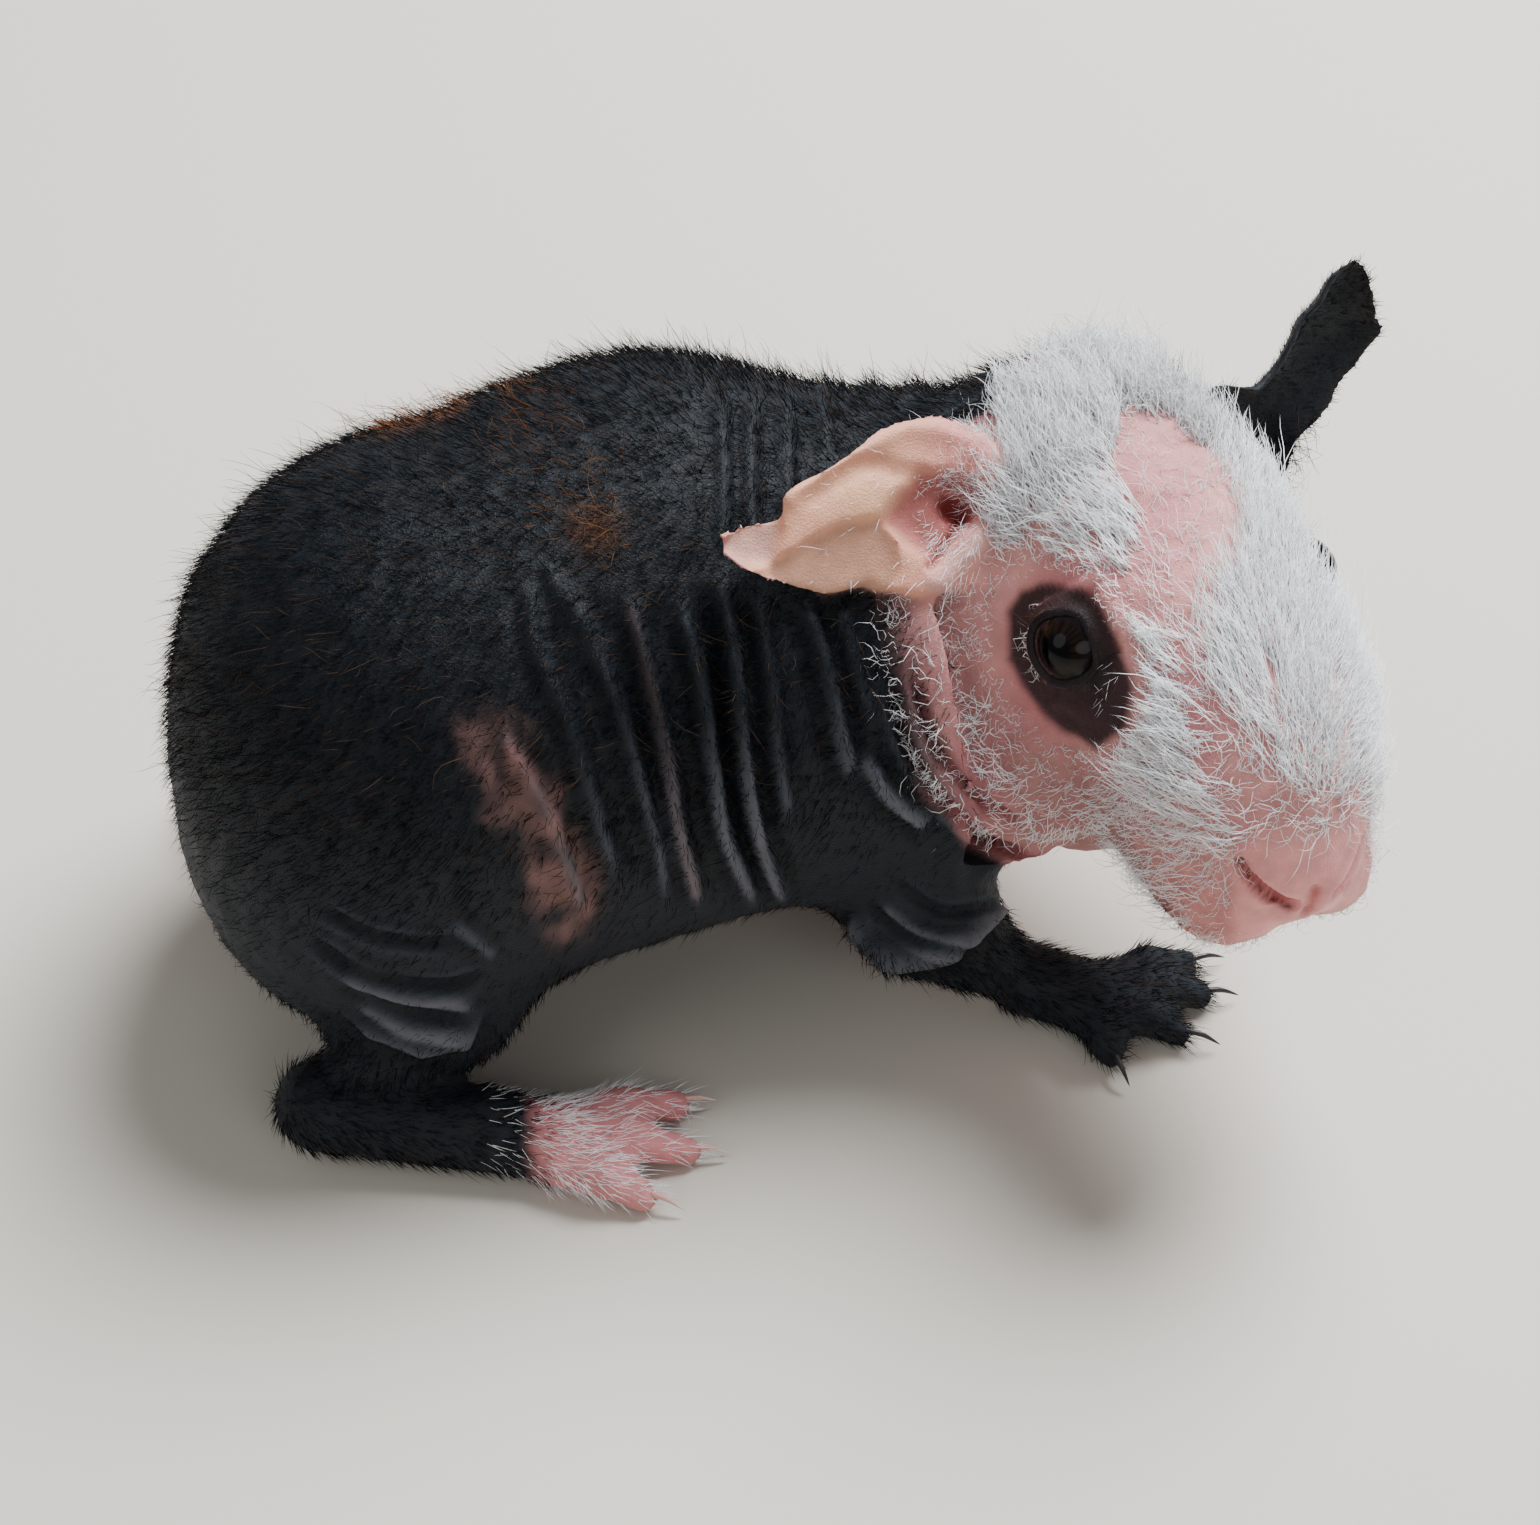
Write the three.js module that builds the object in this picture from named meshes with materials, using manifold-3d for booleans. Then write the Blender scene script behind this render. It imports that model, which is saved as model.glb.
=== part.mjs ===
// A young skinny pig (hairless guinea pig) standing curled to its right, life size.
//
// The flesh is one smooth field of rounded forms, from which each named piece is netted and then
// parted from its neighbours with thin flat cuts. Ears, eyes and claws are pieces of their own.
// Millimetres, +Z up. The animal faces +X, with its left side towards +Y. The feet stand on z = 0.

import * as THREE from 'three';
import { mergeVertices } from 'three/addons/utils/BufferGeometryUtils.js';
import Module from 'manifold-3d';

const wasm = await Module();
wasm.setup();

// Driving dimensions.
const GAP = 0.3; // between pieces that touch
const HAIR = 0.06; // between two folds of one piece that meet
const TORSO_RADIUS = 30.2; // of the barrel, at the loin
const BACK_HEIGHT = 65.4; // top of the back above the floor
const HEAD_SCALE = 1.04; // the head's forms are drawn 47 long, from ear canal to nose tip
const EYE_RADIUS = 4.0; // of the eyeball, before the head's scale
const LID_THICKNESS = 0.8;
const EAR_LENGTH = 28.5;
const EAR_WIDTH = 18.5;
const EAR_THICKNESS = 1.3;
const CLAW_LENGTH = 4.4; // ahead of the toe's own axis
const CLAW_ROOT = 2.8; // sunk in the toe
const HEAD_YAW = -66; // the head is turned to the animal's right
const HEAD_PITCH = 5;
const THROAT_LEVEL = 24.5; // the head piece stays above it, and the chest fills in below

const rad = THREE.MathUtils.degToRad;
const lerp = THREE.MathUtils.lerp;
const vec = (p) => new THREE.Vector3(...p);

// A frame is a place with a heading, in which forms and cutters are drawn.
function frame(at, yaw = 0, pitch = 0, roll = 0, scale = 1) {
  const turn = new THREE.Quaternion().setFromEuler(
    new THREE.Euler(rad(roll), rad(pitch), rad(yaw), 'ZYX'),
  );
  return frameOf(new THREE.Matrix4().compose(vec(at), turn, new THREE.Vector3(scale, scale, scale)));
}

function frameOf(matrix) {
  const inverse = matrix.clone().invert();
  const scale = Math.cbrt(matrix.determinant());
  const local = new THREE.Vector3();
  return {
    matrix,
    point: (x, y, z) => new THREE.Vector3(x, y, z).applyMatrix4(matrix),
    within: (inner) => frameOf(matrix.clone().multiply(inner.matrix)),
    field: (f) => (p) => f(local.copy(p).applyMatrix4(inverse)) * scale,
  };
}

const WORLD = frame([0, 0, 0]);

// A frame whose +X runs along one direction, with +Z as near another as it can be.
function aimedFrame(at, along, facing) {
  const x = vec(along).normalize();
  const y = vec(facing).cross(x).normalize();
  const z = x.clone().cross(y);
  return frameOf(new THREE.Matrix4().makeBasis(x, y, z).setPosition(vec(at)));
}

// Fields: each gives the distance from a point to a form, negative inside.
function ellipsoid(at, radii, heading = 0, pitch = 0) {
  const [a, b, c] = radii;
  return frame(at, heading, pitch).field((p) => {
    const k = Math.hypot(p.x / a, p.y / b, p.z / c);
    const slope = Math.hypot(p.x / (a * a), p.y / (b * b), p.z / (c * c));
    return slope < 1e-9 ? -Math.min(a, b, c) : (k * (k - 1)) / slope;
  });
}

function bone(from, to, fromRadius, toRadius) {
  const start = vec(from);
  const along = vec(to).sub(start);
  const q = new THREE.Vector3();
  return (p) => {
    q.copy(p).sub(start);
    const t = THREE.MathUtils.clamp(q.dot(along) / along.lengthSq(), 0, 1);
    return q.addScaledVector(along, -t).length() - lerp(fromRadius, toRadius, t);
  };
}

function softMin(a, b, k) {
  const h = Math.max(k - Math.abs(a - b), 0) / k;
  return Math.min(a, b) - (h * h * k) / 4;
}

const blend = (k, ...fields) => (p) => fields.reduce((d, f) => softMin(d, f(p), k), 1e3);

// Surface nets: one vertex in each cell that the surface crosses, settled onto the surface.
function net(field, low, high, cell) {
  const count = low.map((v, i) => Math.ceil((high[i] - v) / cell) + 1);
  const [nx, ny, nz] = count;
  const index = (i, j, k) => i + nx * (j + ny * k);
  const corner = new THREE.Vector3();
  const values = new Float32Array(nx * ny * nz);
  for (let k = 0; k < nz; k++)
    for (let j = 0; j < ny; j++)
      for (let i = 0; i < nx; i++)
        values[index(i, j, k)] = field(
          corner.set(low[0] + i * cell, low[1] + j * cell, low[2] + k * cell),
        );

  const vertexOf = new Map();
  const positions = [];
  const steps = [0, 1, 2, 3, 4, 5, 6, 7].map((n) => [n & 1, (n >> 1) & 1, n >> 2]);
  const edges = [];
  for (let a = 0; a < 8; a++) for (const bit of [1, 2, 4]) if (!(a & bit)) edges.push([a, a | bit]);
  for (let k = 0; k < nz - 1; k++)
    for (let j = 0; j < ny - 1; j++)
      for (let i = 0; i < nx - 1; i++) {
        const v = steps.map(([x, y, z]) => values[index(i + x, j + y, k + z)]);
        const inside = v.filter((d) => d < 0).length;
        if (inside === 0 || inside === 8) continue;
        const sum = new THREE.Vector3();
        let crossings = 0;
        for (const [a, b] of edges) {
          if (v[a] < 0 === v[b] < 0) continue;
          const t = v[a] / (v[a] - v[b]);
          sum.x += lerp(steps[a][0], steps[b][0], t);
          sum.y += lerp(steps[a][1], steps[b][1], t);
          sum.z += lerp(steps[a][2], steps[b][2], t);
          crossings++;
        }
        sum.divideScalar(crossings);
        corner.set(low[0] + (i + sum.x) * cell, low[1] + (j + sum.y) * cell, low[2] + (k + sum.z) * cell);
        vertexOf.set(index(i, j, k), positions.length / 3);
        positions.push(...settle(field, corner, cell).toArray());
      }

  const faces = [];
  const cellSteps = [1, nx, nx * ny];
  for (let k = 1; k < nz - 1; k++)
    for (let j = 1; j < ny - 1; j++)
      for (let i = 1; i < nx - 1; i++)
        for (let axis = 0; axis < 3; axis++) {
          const here = index(i, j, k);
          const inside = values[here] < 0;
          if (inside === values[here + cellSteps[axis]] < 0) continue;
          const u = cellSteps[(axis + 1) % 3];
          const w = cellSteps[(axis + 2) % 3];
          const quad = [here, here - u, here - u - w, here - w].map((c) => vertexOf.get(c));
          if (!inside) quad.reverse();
          faces.push(...twoTriangles(positions, quad));
        }
  return solid(positions, faces);
}

// Two steps down the field's slope, each at most a third of a cell.
function settle(field, point, cell) {
  const e = cell * 0.05;
  const slope = new THREE.Vector3();
  const probe = new THREE.Vector3();
  for (let n = 0; n < 2; n++) {
    ['x', 'y', 'z'].forEach((axis) => {
      probe.copy(point)[axis] += e;
      const ahead = field(probe);
      probe[axis] -= 2 * e;
      slope[axis] = (ahead - field(probe)) / (2 * e);
    });
    const d = field(point);
    const step = THREE.MathUtils.clamp(-d / Math.max(slope.lengthSq(), 0.2), -cell / 3, cell / 3);
    point.addScaledVector(slope, step);
  }
  return point;
}

function twoTriangles(positions, [a, b, c, d]) {
  const span = (m, n) =>
    Math.hypot(...[0, 1, 2].map((i) => positions[3 * m + i] - positions[3 * n + i]));
  return span(a, c) < span(b, d) ? [a, b, c, a, c, d] : [b, c, d, b, d, a];
}

// Solids: closed meshes that can be cut and joined.
function solid(positions, faces) {
  const geometry = new THREE.BufferGeometry()
    .setAttribute('position', new THREE.Float32BufferAttribute(positions, 3))
    .setIndex(faces);
  return solidOf(geometry);
}

function solidOf(geometry, place = WORLD) {
  const bare = geometry.clone();
  bare.deleteAttribute('normal');
  bare.deleteAttribute('uv');
  bare.applyMatrix4(place.matrix);
  const merged = mergeVertices(bare, 1e-4);
  return new wasm.Manifold(
    new wasm.Mesh({
      numProp: 3,
      vertProperties: new Float32Array(merged.attributes.position.array),
      triVerts: new Uint32Array(merged.index.array),
    }),
  );
}

const largest = (piece) =>
  piece.decompose().reduce((best, part) => (part.volume() > best.volume() ? part : best));

function geometryOf(piece) {
  const mesh = piece.getMesh();
  const positions = new Float32Array(mesh.numVert * 3);
  for (let i = 0; i < mesh.numVert; i++)
    positions.set(mesh.vertProperties.subarray(i * mesh.numProp, i * mesh.numProp + 3), i * 3);
  const geometry = new THREE.BufferGeometry()
    .setAttribute('position', new THREE.BufferAttribute(positions, 3))
    .setIndex(new THREE.BufferAttribute(mesh.triVerts, 1));
  geometry.computeVertexNormals();
  return drawnApart(geometry);
}

// Corners that meet without being shared are moved a hair's breadth inwards, so nothing touches.
function drawnApart(geometry) {
  const { position, normal } = geometry.attributes;
  const cornersAt = new Map();
  const point = new THREE.Vector3();
  const inwards = new THREE.Vector3();
  for (let i = 0; i < position.count; i++) {
    const key = point.fromBufferAttribute(position, i).toArray().map((v) => v.toFixed(2)).join();
    cornersAt.set(key, [...(cornersAt.get(key) ?? []), i]);
  }
  for (const corners of cornersAt.values()) {
    if (corners.length === 1) continue;
    for (const i of corners) {
      inwards.fromBufferAttribute(normal, i).multiplyScalar(-HAIR);
      point.fromBufferAttribute(position, i).add(inwards);
      position.setXYZ(i, point.x, point.y, point.z);
    }
  }
  return geometry;
}

// A tube of rings along a line of points, closed at both ends, such as a claw or a groove.
function taperedTube(points, radii, sides = 8) {
  const curve = new THREE.CatmullRomCurve3(points);
  const { normals, binormals } = curve.computeFrenetFrames(points.length - 1);
  const positions = [];
  points.forEach((point, ring) => {
    for (let side = 0; side < sides; side++) {
      const angle = (2 * Math.PI * side) / sides;
      const p = point
        .clone()
        .addScaledVector(normals[ring], radii[ring] * Math.cos(angle))
        .addScaledVector(binormals[ring], radii[ring] * Math.sin(angle));
      positions.push(p.x, p.y, p.z);
    }
  });
  return solid(positions, ringFaces(points.length, sides));
}

// Faces of rings that follow one another, with a fan over the first and the last.
function ringFaces(rings, sides) {
  const faces = [];
  for (let r = 0; r < rings - 1; r++)
    for (let s = 0; s < sides; s++) {
      const a = r * sides + s;
      const b = r * sides + ((s + 1) % sides);
      faces.push(a, b, b + sides, a, b + sides, a + sides);
    }
  const last = (rings - 1) * sides;
  for (let s = 1; s < sides - 1; s++) faces.push(0, s + 1, s, last, last + s, last + s + 1);
  return faces;
}

// A cutter box that reaches from its frame's origin along +X, wide in Y and Z.
function block(place, length, width, height, grown = 0) {
  const box = new THREE.BoxGeometry(length + 2 * grown, width + 2 * grown, height + 2 * grown);
  box.translate(length / 2, 0, 0);
  return solidOf(box, place);
}

function blockField(place, length, width, height, grown) {
  return place.field((p) =>
    Math.max(
      Math.abs(p.x - length / 2) - length / 2 - grown,
      Math.abs(p.y) - width / 2 - grown,
      Math.abs(p.z) - height / 2 - grown,
    ),
  );
}

// Torso: barrel-shaped forms along a spine that curls to the right.
const RUMP = frame([-33.5, -26, 33], 20);
const LOIN = frame([-12, -18, BACK_HEIGHT - TORSO_RADIUS], 10);
const CHEST = frame([13, -15, 33], -14);
const torsoForm = blend(
  9,
  RUMP.field(ellipsoid([0, 0, 0], [27, 28.5, 29.5])),
  RUMP.field(ellipsoid([-9, -6, -10], [17, 19, 17])),
  LOIN.field(ellipsoid([0, 0, 0], [29, TORSO_RADIUS - 1, TORSO_RADIUS])),
  CHEST.field(ellipsoid([0, 0, 0], [22, 25, 26])),
);

// Neck: thick, with slack skin under the throat.
const neckForm = blend(
  6,
  ellipsoid([24, -14.5, 42], [15, 18, 19], -42),
  bone([20, -20, 36], [25.5, -31.5, 33], 14, 9.5),
);

// Head: drawn in its own frame, from the midpoint of the ear canals, with the nose towards +X.
const HEAD = frame([32, -12.9, 51.2], HEAD_YAW, HEAD_PITCH, 0, HEAD_SCALE);
const pair = (form) => [form(1), form(-1)];
const skull = blend(
  6,
  ellipsoid([3, 0, 1], [17, 13.4, 13.8]),
  ellipsoid([18.5, 0, -2], [19.5, 13.9, 14.6]),
  ellipsoid([33, 0, -5.6], [13.2, 11.4, 13.6]),
  ...pair((side) => ellipsoid([8, 6.4 * side, -7], [14, 8.8, 10.5])),
  ...pair((side) => bone([12, 5 * side, -10.5], [31, 4 * side, -13], 8.2, 6.6)),
);
const muzzle = blend(
  2.5,
  skull,
  ellipsoid([43.4, 0, -8.4], [4.4, 5.4, 4.8]),
  ...pair((side) => ellipsoid([38, 5 * side, -13], [7.6, 5.8, 5.6])),
);
const lowerLip = ellipsoid([34.5, 0, -17.6], [6.6, 5.4, 3.6]);
const brow = pair((side) => ellipsoid([16, 8 * side, 5.4], [6.6, 3, 4], -10 * side));
const headForm = HEAD.field(blend(3, blend(1.2, muzzle, lowerLip), ...brow));

const headAndNeck = blend(5, headForm, neckForm);

// Legs: named joints in the world, written for each leg, and the forms between them.
const HIND_RIGHT = {
  haunch: [-38, -38, 25],
  heading: 10,
  knee: [-32, -48, 13.5],
  heel: [-45, -54, 5.4],
  ball: [-22, -57, 3.4],
  toes: [
    { root: [-21, -54.2, 3], tip: [-9.6, -51, 1.7] },
    { root: [-19.5, -57.2, 3], tip: [-8.4, -57, 1.7] },
    { root: [-21.5, -60, 3], tip: [-12.6, -62.8, 1.7] },
  ],
};
const HIND_LEFT = {
  haunch: [-45, -15, 25],
  heading: 30,
  knee: [-42, -4, 13.5],
  heel: [-57, -7, 5.4],
  ball: [-36, 4, 3.4],
  toes: [
    { root: [-34.2, 7.4, 3], tip: [-25.6, 13.2, 1.7] },
    { root: [-33.4, 4.8, 3], tip: [-23.2, 9, 1.7] },
    { root: [-33.6, 2, 3], tip: [-23.4, 3.6, 1.7] },
  ],
};
const FORE_RIGHT = {
  shoulder: [11, -27, 27],
  elbow: [15.5, -35, 14.5],
  cuff: [19, -36, 11],
  wrist: [26.5, -37, 5.4],
  ball: [34, -38, 3.1],
  toes: [
    { root: [35, -35, 3], tip: [44, -31.6, 1.6] },
    { root: [35.8, -37.2, 3], tip: [44.8, -36, 1.6] },
    { root: [35.4, -39.4, 3], tip: [42.4, -41.2, 1.6] },
    { root: [33.4, -40.6, 3], tip: [35, -44, 1.6] },
  ],
};
const FORE_LEFT = {
  shoulder: [17, 0, 27],
  elbow: [18, 6.5, 14.5],
  cuff: [21.5, 7.5, 11],
  wrist: [29, 8, 5.4],
  ball: [36.5, 7.6, 3.1],
  toes: [
    { root: [38.2, 5.2, 3], tip: [46.4, 1.6, 1.6] },
    { root: [38.8, 7, 3], tip: [48.4, 5.4, 1.6] },
    { root: [38.6, 9, 3], tip: [48, 9.8, 1.6] },
    { root: [37, 10.6, 3], tip: [42.6, 14.2, 1.6] },
  ],
};

const HAUNCH_RADII = [15.5, 12.5, 17];
const hindUpper = (leg) =>
  blend(
    5,
    ellipsoid(leg.haunch, HAUNCH_RADII, leg.heading),
    bone([leg.haunch[0], leg.haunch[1], leg.haunch[2] - 5], leg.knee, 10.5, 6.8),
  );
const hindLower = (leg) => bone(leg.knee, leg.heel.map((v, i) => lerp(leg.knee[i], v, 0.9)), 5.2, 4.4);
const hindFoot = (leg) => blend(2, bone(leg.heel, leg.ball, 4.9, 4.1), ...toeForms(leg, 2.05, 1.75));
const foreUpper = (leg) => bone(leg.shoulder, leg.elbow, 11.5, 7.9);
const foreLower = (leg) => blend(2.5, bone(leg.elbow, leg.cuff, 5.6, 5), bone(leg.cuff, leg.wrist, 5, 3.8));
const foreFoot = (leg) => blend(2, bone(leg.wrist, leg.ball, 4, 3.7), ...toeForms(leg, 1.95, 1.65));

// Each toe rises a little to its knuckle and comes down to the claw.
function toeForms(leg, rootRadius, tipRadius) {
  return leg.toes.flatMap(({ root, tip }) => {
    const knuckle = [lerp(root[0], tip[0], 0.5), lerp(root[1], tip[1], 0.5), 3.3];
    const mean = (rootRadius + tipRadius) / 2;
    return [bone(root, knuckle, rootRadius, mean), bone(knuckle, tip, mean, tipRadius)];
  });
}

// Where the pieces part: each cutter is a block from its frame's origin along +X.
const HEAD_CUT = HEAD.within(frame([-7.2, 0, 12.5], 0, -22));
const NECK_CUT = frame([19, -14, 40], -30, -12);
const regions = {
  head: { place: HEAD_CUT, size: [75, 42, 100] },
  neck: { place: NECK_CUT, size: [42, 74, 78] },
  hindleg_right: { place: frame([-38.5, -37, 7], -78), size: [32, 36, 28] },
  hindleg_left: { place: frame([-47, -12, 7], 122), size: [32, 36, 28] },
  foreleg_right: { place: frame([15, -27.5, 6], -80), size: [30, 27, 27] },
  foreleg_left: { place: frame([21, -0.5, 6], 70), size: [30, 27, 27] },
};

// Nets a field within a piece's block, and trims it to the block.
function cutPiece(field, { place, size }, cell) {
  const pad = 1.5 * cell;
  const [length, width, height] = size;
  const bounded = blockField(place, length, width, height, pad);
  const reach = new THREE.Box3();
  for (const x of [0, length])
    for (const y of [-width / 2, width / 2])
      for (const z of [-height / 2, height / 2]) reach.expandByPoint(place.point(x, y, z));
  reach.expandByScalar(pad + 2 * cell);
  const low = [0, 1, 2].map((i) => Math.max(reach.min.getComponent(i), BODY_LOW[i]));
  const high = [0, 1, 2].map((i) => Math.min(reach.max.getComponent(i), BODY_HIGH[i]));
  const netted = net((p) => Math.max(field(p), bounded(p)), low, high, cell);
  return netted.intersect(block(place, length, width, height));
}

// Nets only the part of a field that lies within a ball.
function netNear(field, at, radius, cell) {
  const middle = vec(at);
  return net(
    (p) => Math.max(field(p), p.distanceTo(middle) - radius),
    at.map((v) => v - radius - 2 * cell),
    at.map((v) => v + radius + 2 * cell),
    cell,
  );
}

const grownBlock = (name) => block(regions[name].place, ...regions[name].size, GAP);
const BODY_LOW = [-75, -80, -6];
const BODY_HIGH = [75, 45, 85];

// Everything under a level. The floor trims every sole flat at z = 0 with it.
const below = (level) => solidOf(new THREE.BoxGeometry(400, 400, 80).translate(0, 0, level - 40));

// Eyes: balls set in the head, each under two lids with an almond opening.
const eyeFrame = (side) => HEAD.within(frame([18.8, 11.3 * side, 2.4], 64 * side, -24));
const EYE_OPENING = { length: 3.6, height: 3.1 };
const eyeball = (side, grown = 0) => {
  const ball = new THREE.SphereGeometry(EYE_RADIUS + grown, 16, 10);
  return solidOf(ball, eyeFrame(side));
};
function lidOpening(side) {
  const tube = new THREE.CylinderGeometry(1.25, 0.85, 8, 16);
  tube.rotateZ(-Math.PI / 2); // along the eye's own +X
  tube.scale(1, EYE_OPENING.length, EYE_OPENING.height);
  tube.rotateX(rad(14 * side));
  tube.translate(4.6, 0, 0);
  return solidOf(tube, eyeFrame(side));
}

// Nostrils and the line of the mouth are grooves cut along short curves.
const headPoints = (points) => points.map((p) => HEAD.point(...p));
const nostril = (side) =>
  taperedTube(
    headPoints([
      [42.4, 1.6 * side, -11],
      [46.4, 2.6 * side, -10],
      [46, 4.2 * side, -9.2],
      [43.4, 5.8 * side, -9.4],
    ]),
    [0.5, 0.85, 0.75, 0.4],
    7,
  );
const mouth = taperedTube(
  headPoints([
    [28, -9.4, -16.2],
    [33, -8.4, -16.8],
    [38, -6, -17.4],
    [41.2, -2.8, -17.4],
    [42.2, 0, -17],
    [41.2, 2.8, -17.4],
    [38, 6, -17.4],
    [33, 8.4, -16.8],
    [28, 9.4, -16.2],
  ]),
  [0.3, 0.7, 0.8, 0.8, 0.8, 0.8, 0.8, 0.7, 0.3],
  6,
);
const philtrum = taperedTube(
  headPoints([[48.4, 0, -9.5], [47, 0, -12.4], [44.6, 0, -15], [42.2, 0, -17.2]]),
  [0.3, 0.7, 0.7, 0.5],
  6,
);
const earCanal = (side) => {
  const hollow = new THREE.SphereGeometry(1, 10, 8).scale(3.1, 3.2, 3.6);
  return solidOf(hollow, HEAD.within(frame([1.8, 13.2 * side, 1.5])));
};

// Ears: petals with a cupped base, a rim that curls over and a tip that droops.
const EARS = {
  right: {
    side: -1,
    place: aimedFrame([20, -20.5, 59.5], [-22, -9, 1.5], [0.05, -0.7, 0.7]),
    droop: 0.3,
    fold: 0.94,
  },
  left: {
    side: 1,
    place: aimedFrame([43.6, -11.1, 49.8], [7.4, 14.5, 14.3], [0.8, -0.62, 0.05]),
    droop: 0.45,
    fold: 0.8,
  },
};
const EAR_RINGS = 13;
const EAR_SIDE_POINTS = 9;

function earSolid({ side, place, droop, fold }) {
  const positions = [];
  for (let ring = 0; ring <= EAR_RINGS; ring++) {
    const s = ring / EAR_RINGS;
    const halfWidth = (EAR_WIDTH / 2) * earWidthAt(s);
    const thickness = EAR_THICKNESS * lerp(1.25, 0.7, s);
    for (const face of [1, -1])
      for (let n = 0; n < EAR_SIDE_POINTS; n++) {
        const across = (n + 0.5) / EAR_SIDE_POINTS;
        const t = face * lerp(-1, 1, across);
        const p = earPoint(s, t, halfWidth, droop, fold);
        p.z += (face * thickness) / 2;
        p.y *= side;
        positions.push(p.x, p.y, p.z);
      }
  }
  const faces = ringFaces(EAR_RINGS + 1, 2 * EAR_SIDE_POINTS);
  if (side > 0) faces.reverse(); // a mirrored ear's faces turn the other way
  const geometry = new THREE.BufferGeometry()
    .setAttribute('position', new THREE.Float32BufferAttribute(positions, 3))
    .setIndex(faces);
  return solidOf(geometry, place);
}

// Share of the full width at even steps from root to tip.
const EAR_OUTLINE = [0.84, 0.95, 1, 0.98, 0.86, 0.62, 0.45, 0.12];
function earWidthAt(s) {
  const step = s * (EAR_OUTLINE.length - 1);
  const n = Math.min(Math.floor(step), EAR_OUTLINE.length - 2);
  return lerp(EAR_OUTLINE[n], EAR_OUTLINE[n + 1], step - n);
}

// s runs from root to tip, t across from the lower edge to the upper one, which curls over.
function earPoint(s, t, halfWidth, droop, fold) {
  const cup = lerp(5.2, 1, Math.sqrt(s));
  const curl = Math.max(t - 0.35, 0) / 0.65;
  const y = halfWidth * (t - 0.32 * fold * curl * curl);
  const z = cup * t * t * lerp(0.8, 1, s) + 2.2 * fold * curl * curl * (1 - 0.5 * s);
  const angle = droop * Math.max(s - 0.25, 0);
  return new THREE.Vector3(
    EAR_LENGTH * s * Math.cos(angle * 0.9),
    y,
    z + EAR_LENGTH * s * Math.sin(angle) * 0.6 - 6 * Math.pow(Math.max(1 - s / 0.3, 0), 2),
  );
}

// Claws: short horns that leave the toe's tip and bend down.
function claw(root, tip) {
  const from = vec(tip);
  const ahead = from.clone().sub(vec(root)).setZ(0).normalize();
  const points = [];
  const radii = [];
  for (let n = 0; n <= 4; n++) {
    const t = n / 4;
    const point = from.clone().addScaledVector(ahead, lerp(-CLAW_ROOT, CLAW_LENGTH, t));
    point.z = from.z + 0.45 - 1.1 * t * t;
    points.push(point);
    radii.push(lerp(0.72, 0.2, t));
  }
  return taperedTube(points, radii, 6);
}

// The pieces.
const CELLS = { torso: 5.8, neck: 4.2, head: 2.9, leg: 3.3, foot: 1.7 };
const LEGS = {
  hind_right: { leg: HIND_RIGHT, upper: hindUpper, lower: hindLower, foot: hindFoot },
  hind_left: { leg: HIND_LEFT, upper: hindUpper, lower: hindLower, foot: hindFoot },
  fore_right: { leg: FORE_RIGHT, upper: foreUpper, lower: foreLower, foot: foreFoot },
  fore_left: { leg: FORE_LEFT, upper: foreUpper, lower: foreLower, foot: foreFoot },
};
const named = (limb, part) => limb.replace('_', part + '_');
const pieces = {};

const wholeTorso = blend(
  5,
  blend(7, torsoForm, neckForm),
  ...Object.values(LEGS).map(({ leg, upper }) => upper(leg)),
);
const headGrown = net((p) => headAndNeck(p) - GAP, BODY_LOW, BODY_HIGH, CELLS.head);
const torsoGrown = net((p) => wholeTorso(p) - GAP, BODY_LOW, BODY_HIGH, CELLS.neck);
const headRoom = grownBlock('head').subtract(below(THROAT_LEVEL));
const legRoom = Object.keys(LEGS).map((limb) => grownBlock(named(limb, 'leg')));
const clearOf = (piece, rooms) => rooms.reduce((rest, room) => rest.subtract(room), piece);

const torso = net(wholeTorso, BODY_LOW, BODY_HIGH, CELLS.torso);
pieces.torso = clearOf(torso, [grownBlock('neck'), headRoom, ...legRoom]);
const neck = cutPiece(blend(5, wholeTorso, headAndNeck), regions.neck, CELLS.neck);
pieces.neck = clearOf(neck, [headRoom, ...legRoom]);

let head = cutPiece(headAndNeck, regions.head, CELLS.head);
for (const side of [1, -1]) {
  head = head.add(eyeball(side, LID_THICKNESS)).subtract(eyeball(side, GAP / HEAD_SCALE));
  head = head.subtract(lidOpening(side)).subtract(nostril(side)).subtract(earCanal(side));
}
pieces.head = clearOf(head, [mouth, philtrum, below(THROAT_LEVEL + GAP)]);

for (const [name, ear] of Object.entries(EARS)) {
  pieces[`ear_${name}`] = clearOf(earSolid(ear), [headGrown, torsoGrown]);
  pieces[`eye_${name}`] = eyeball(ear.side);
}

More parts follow.
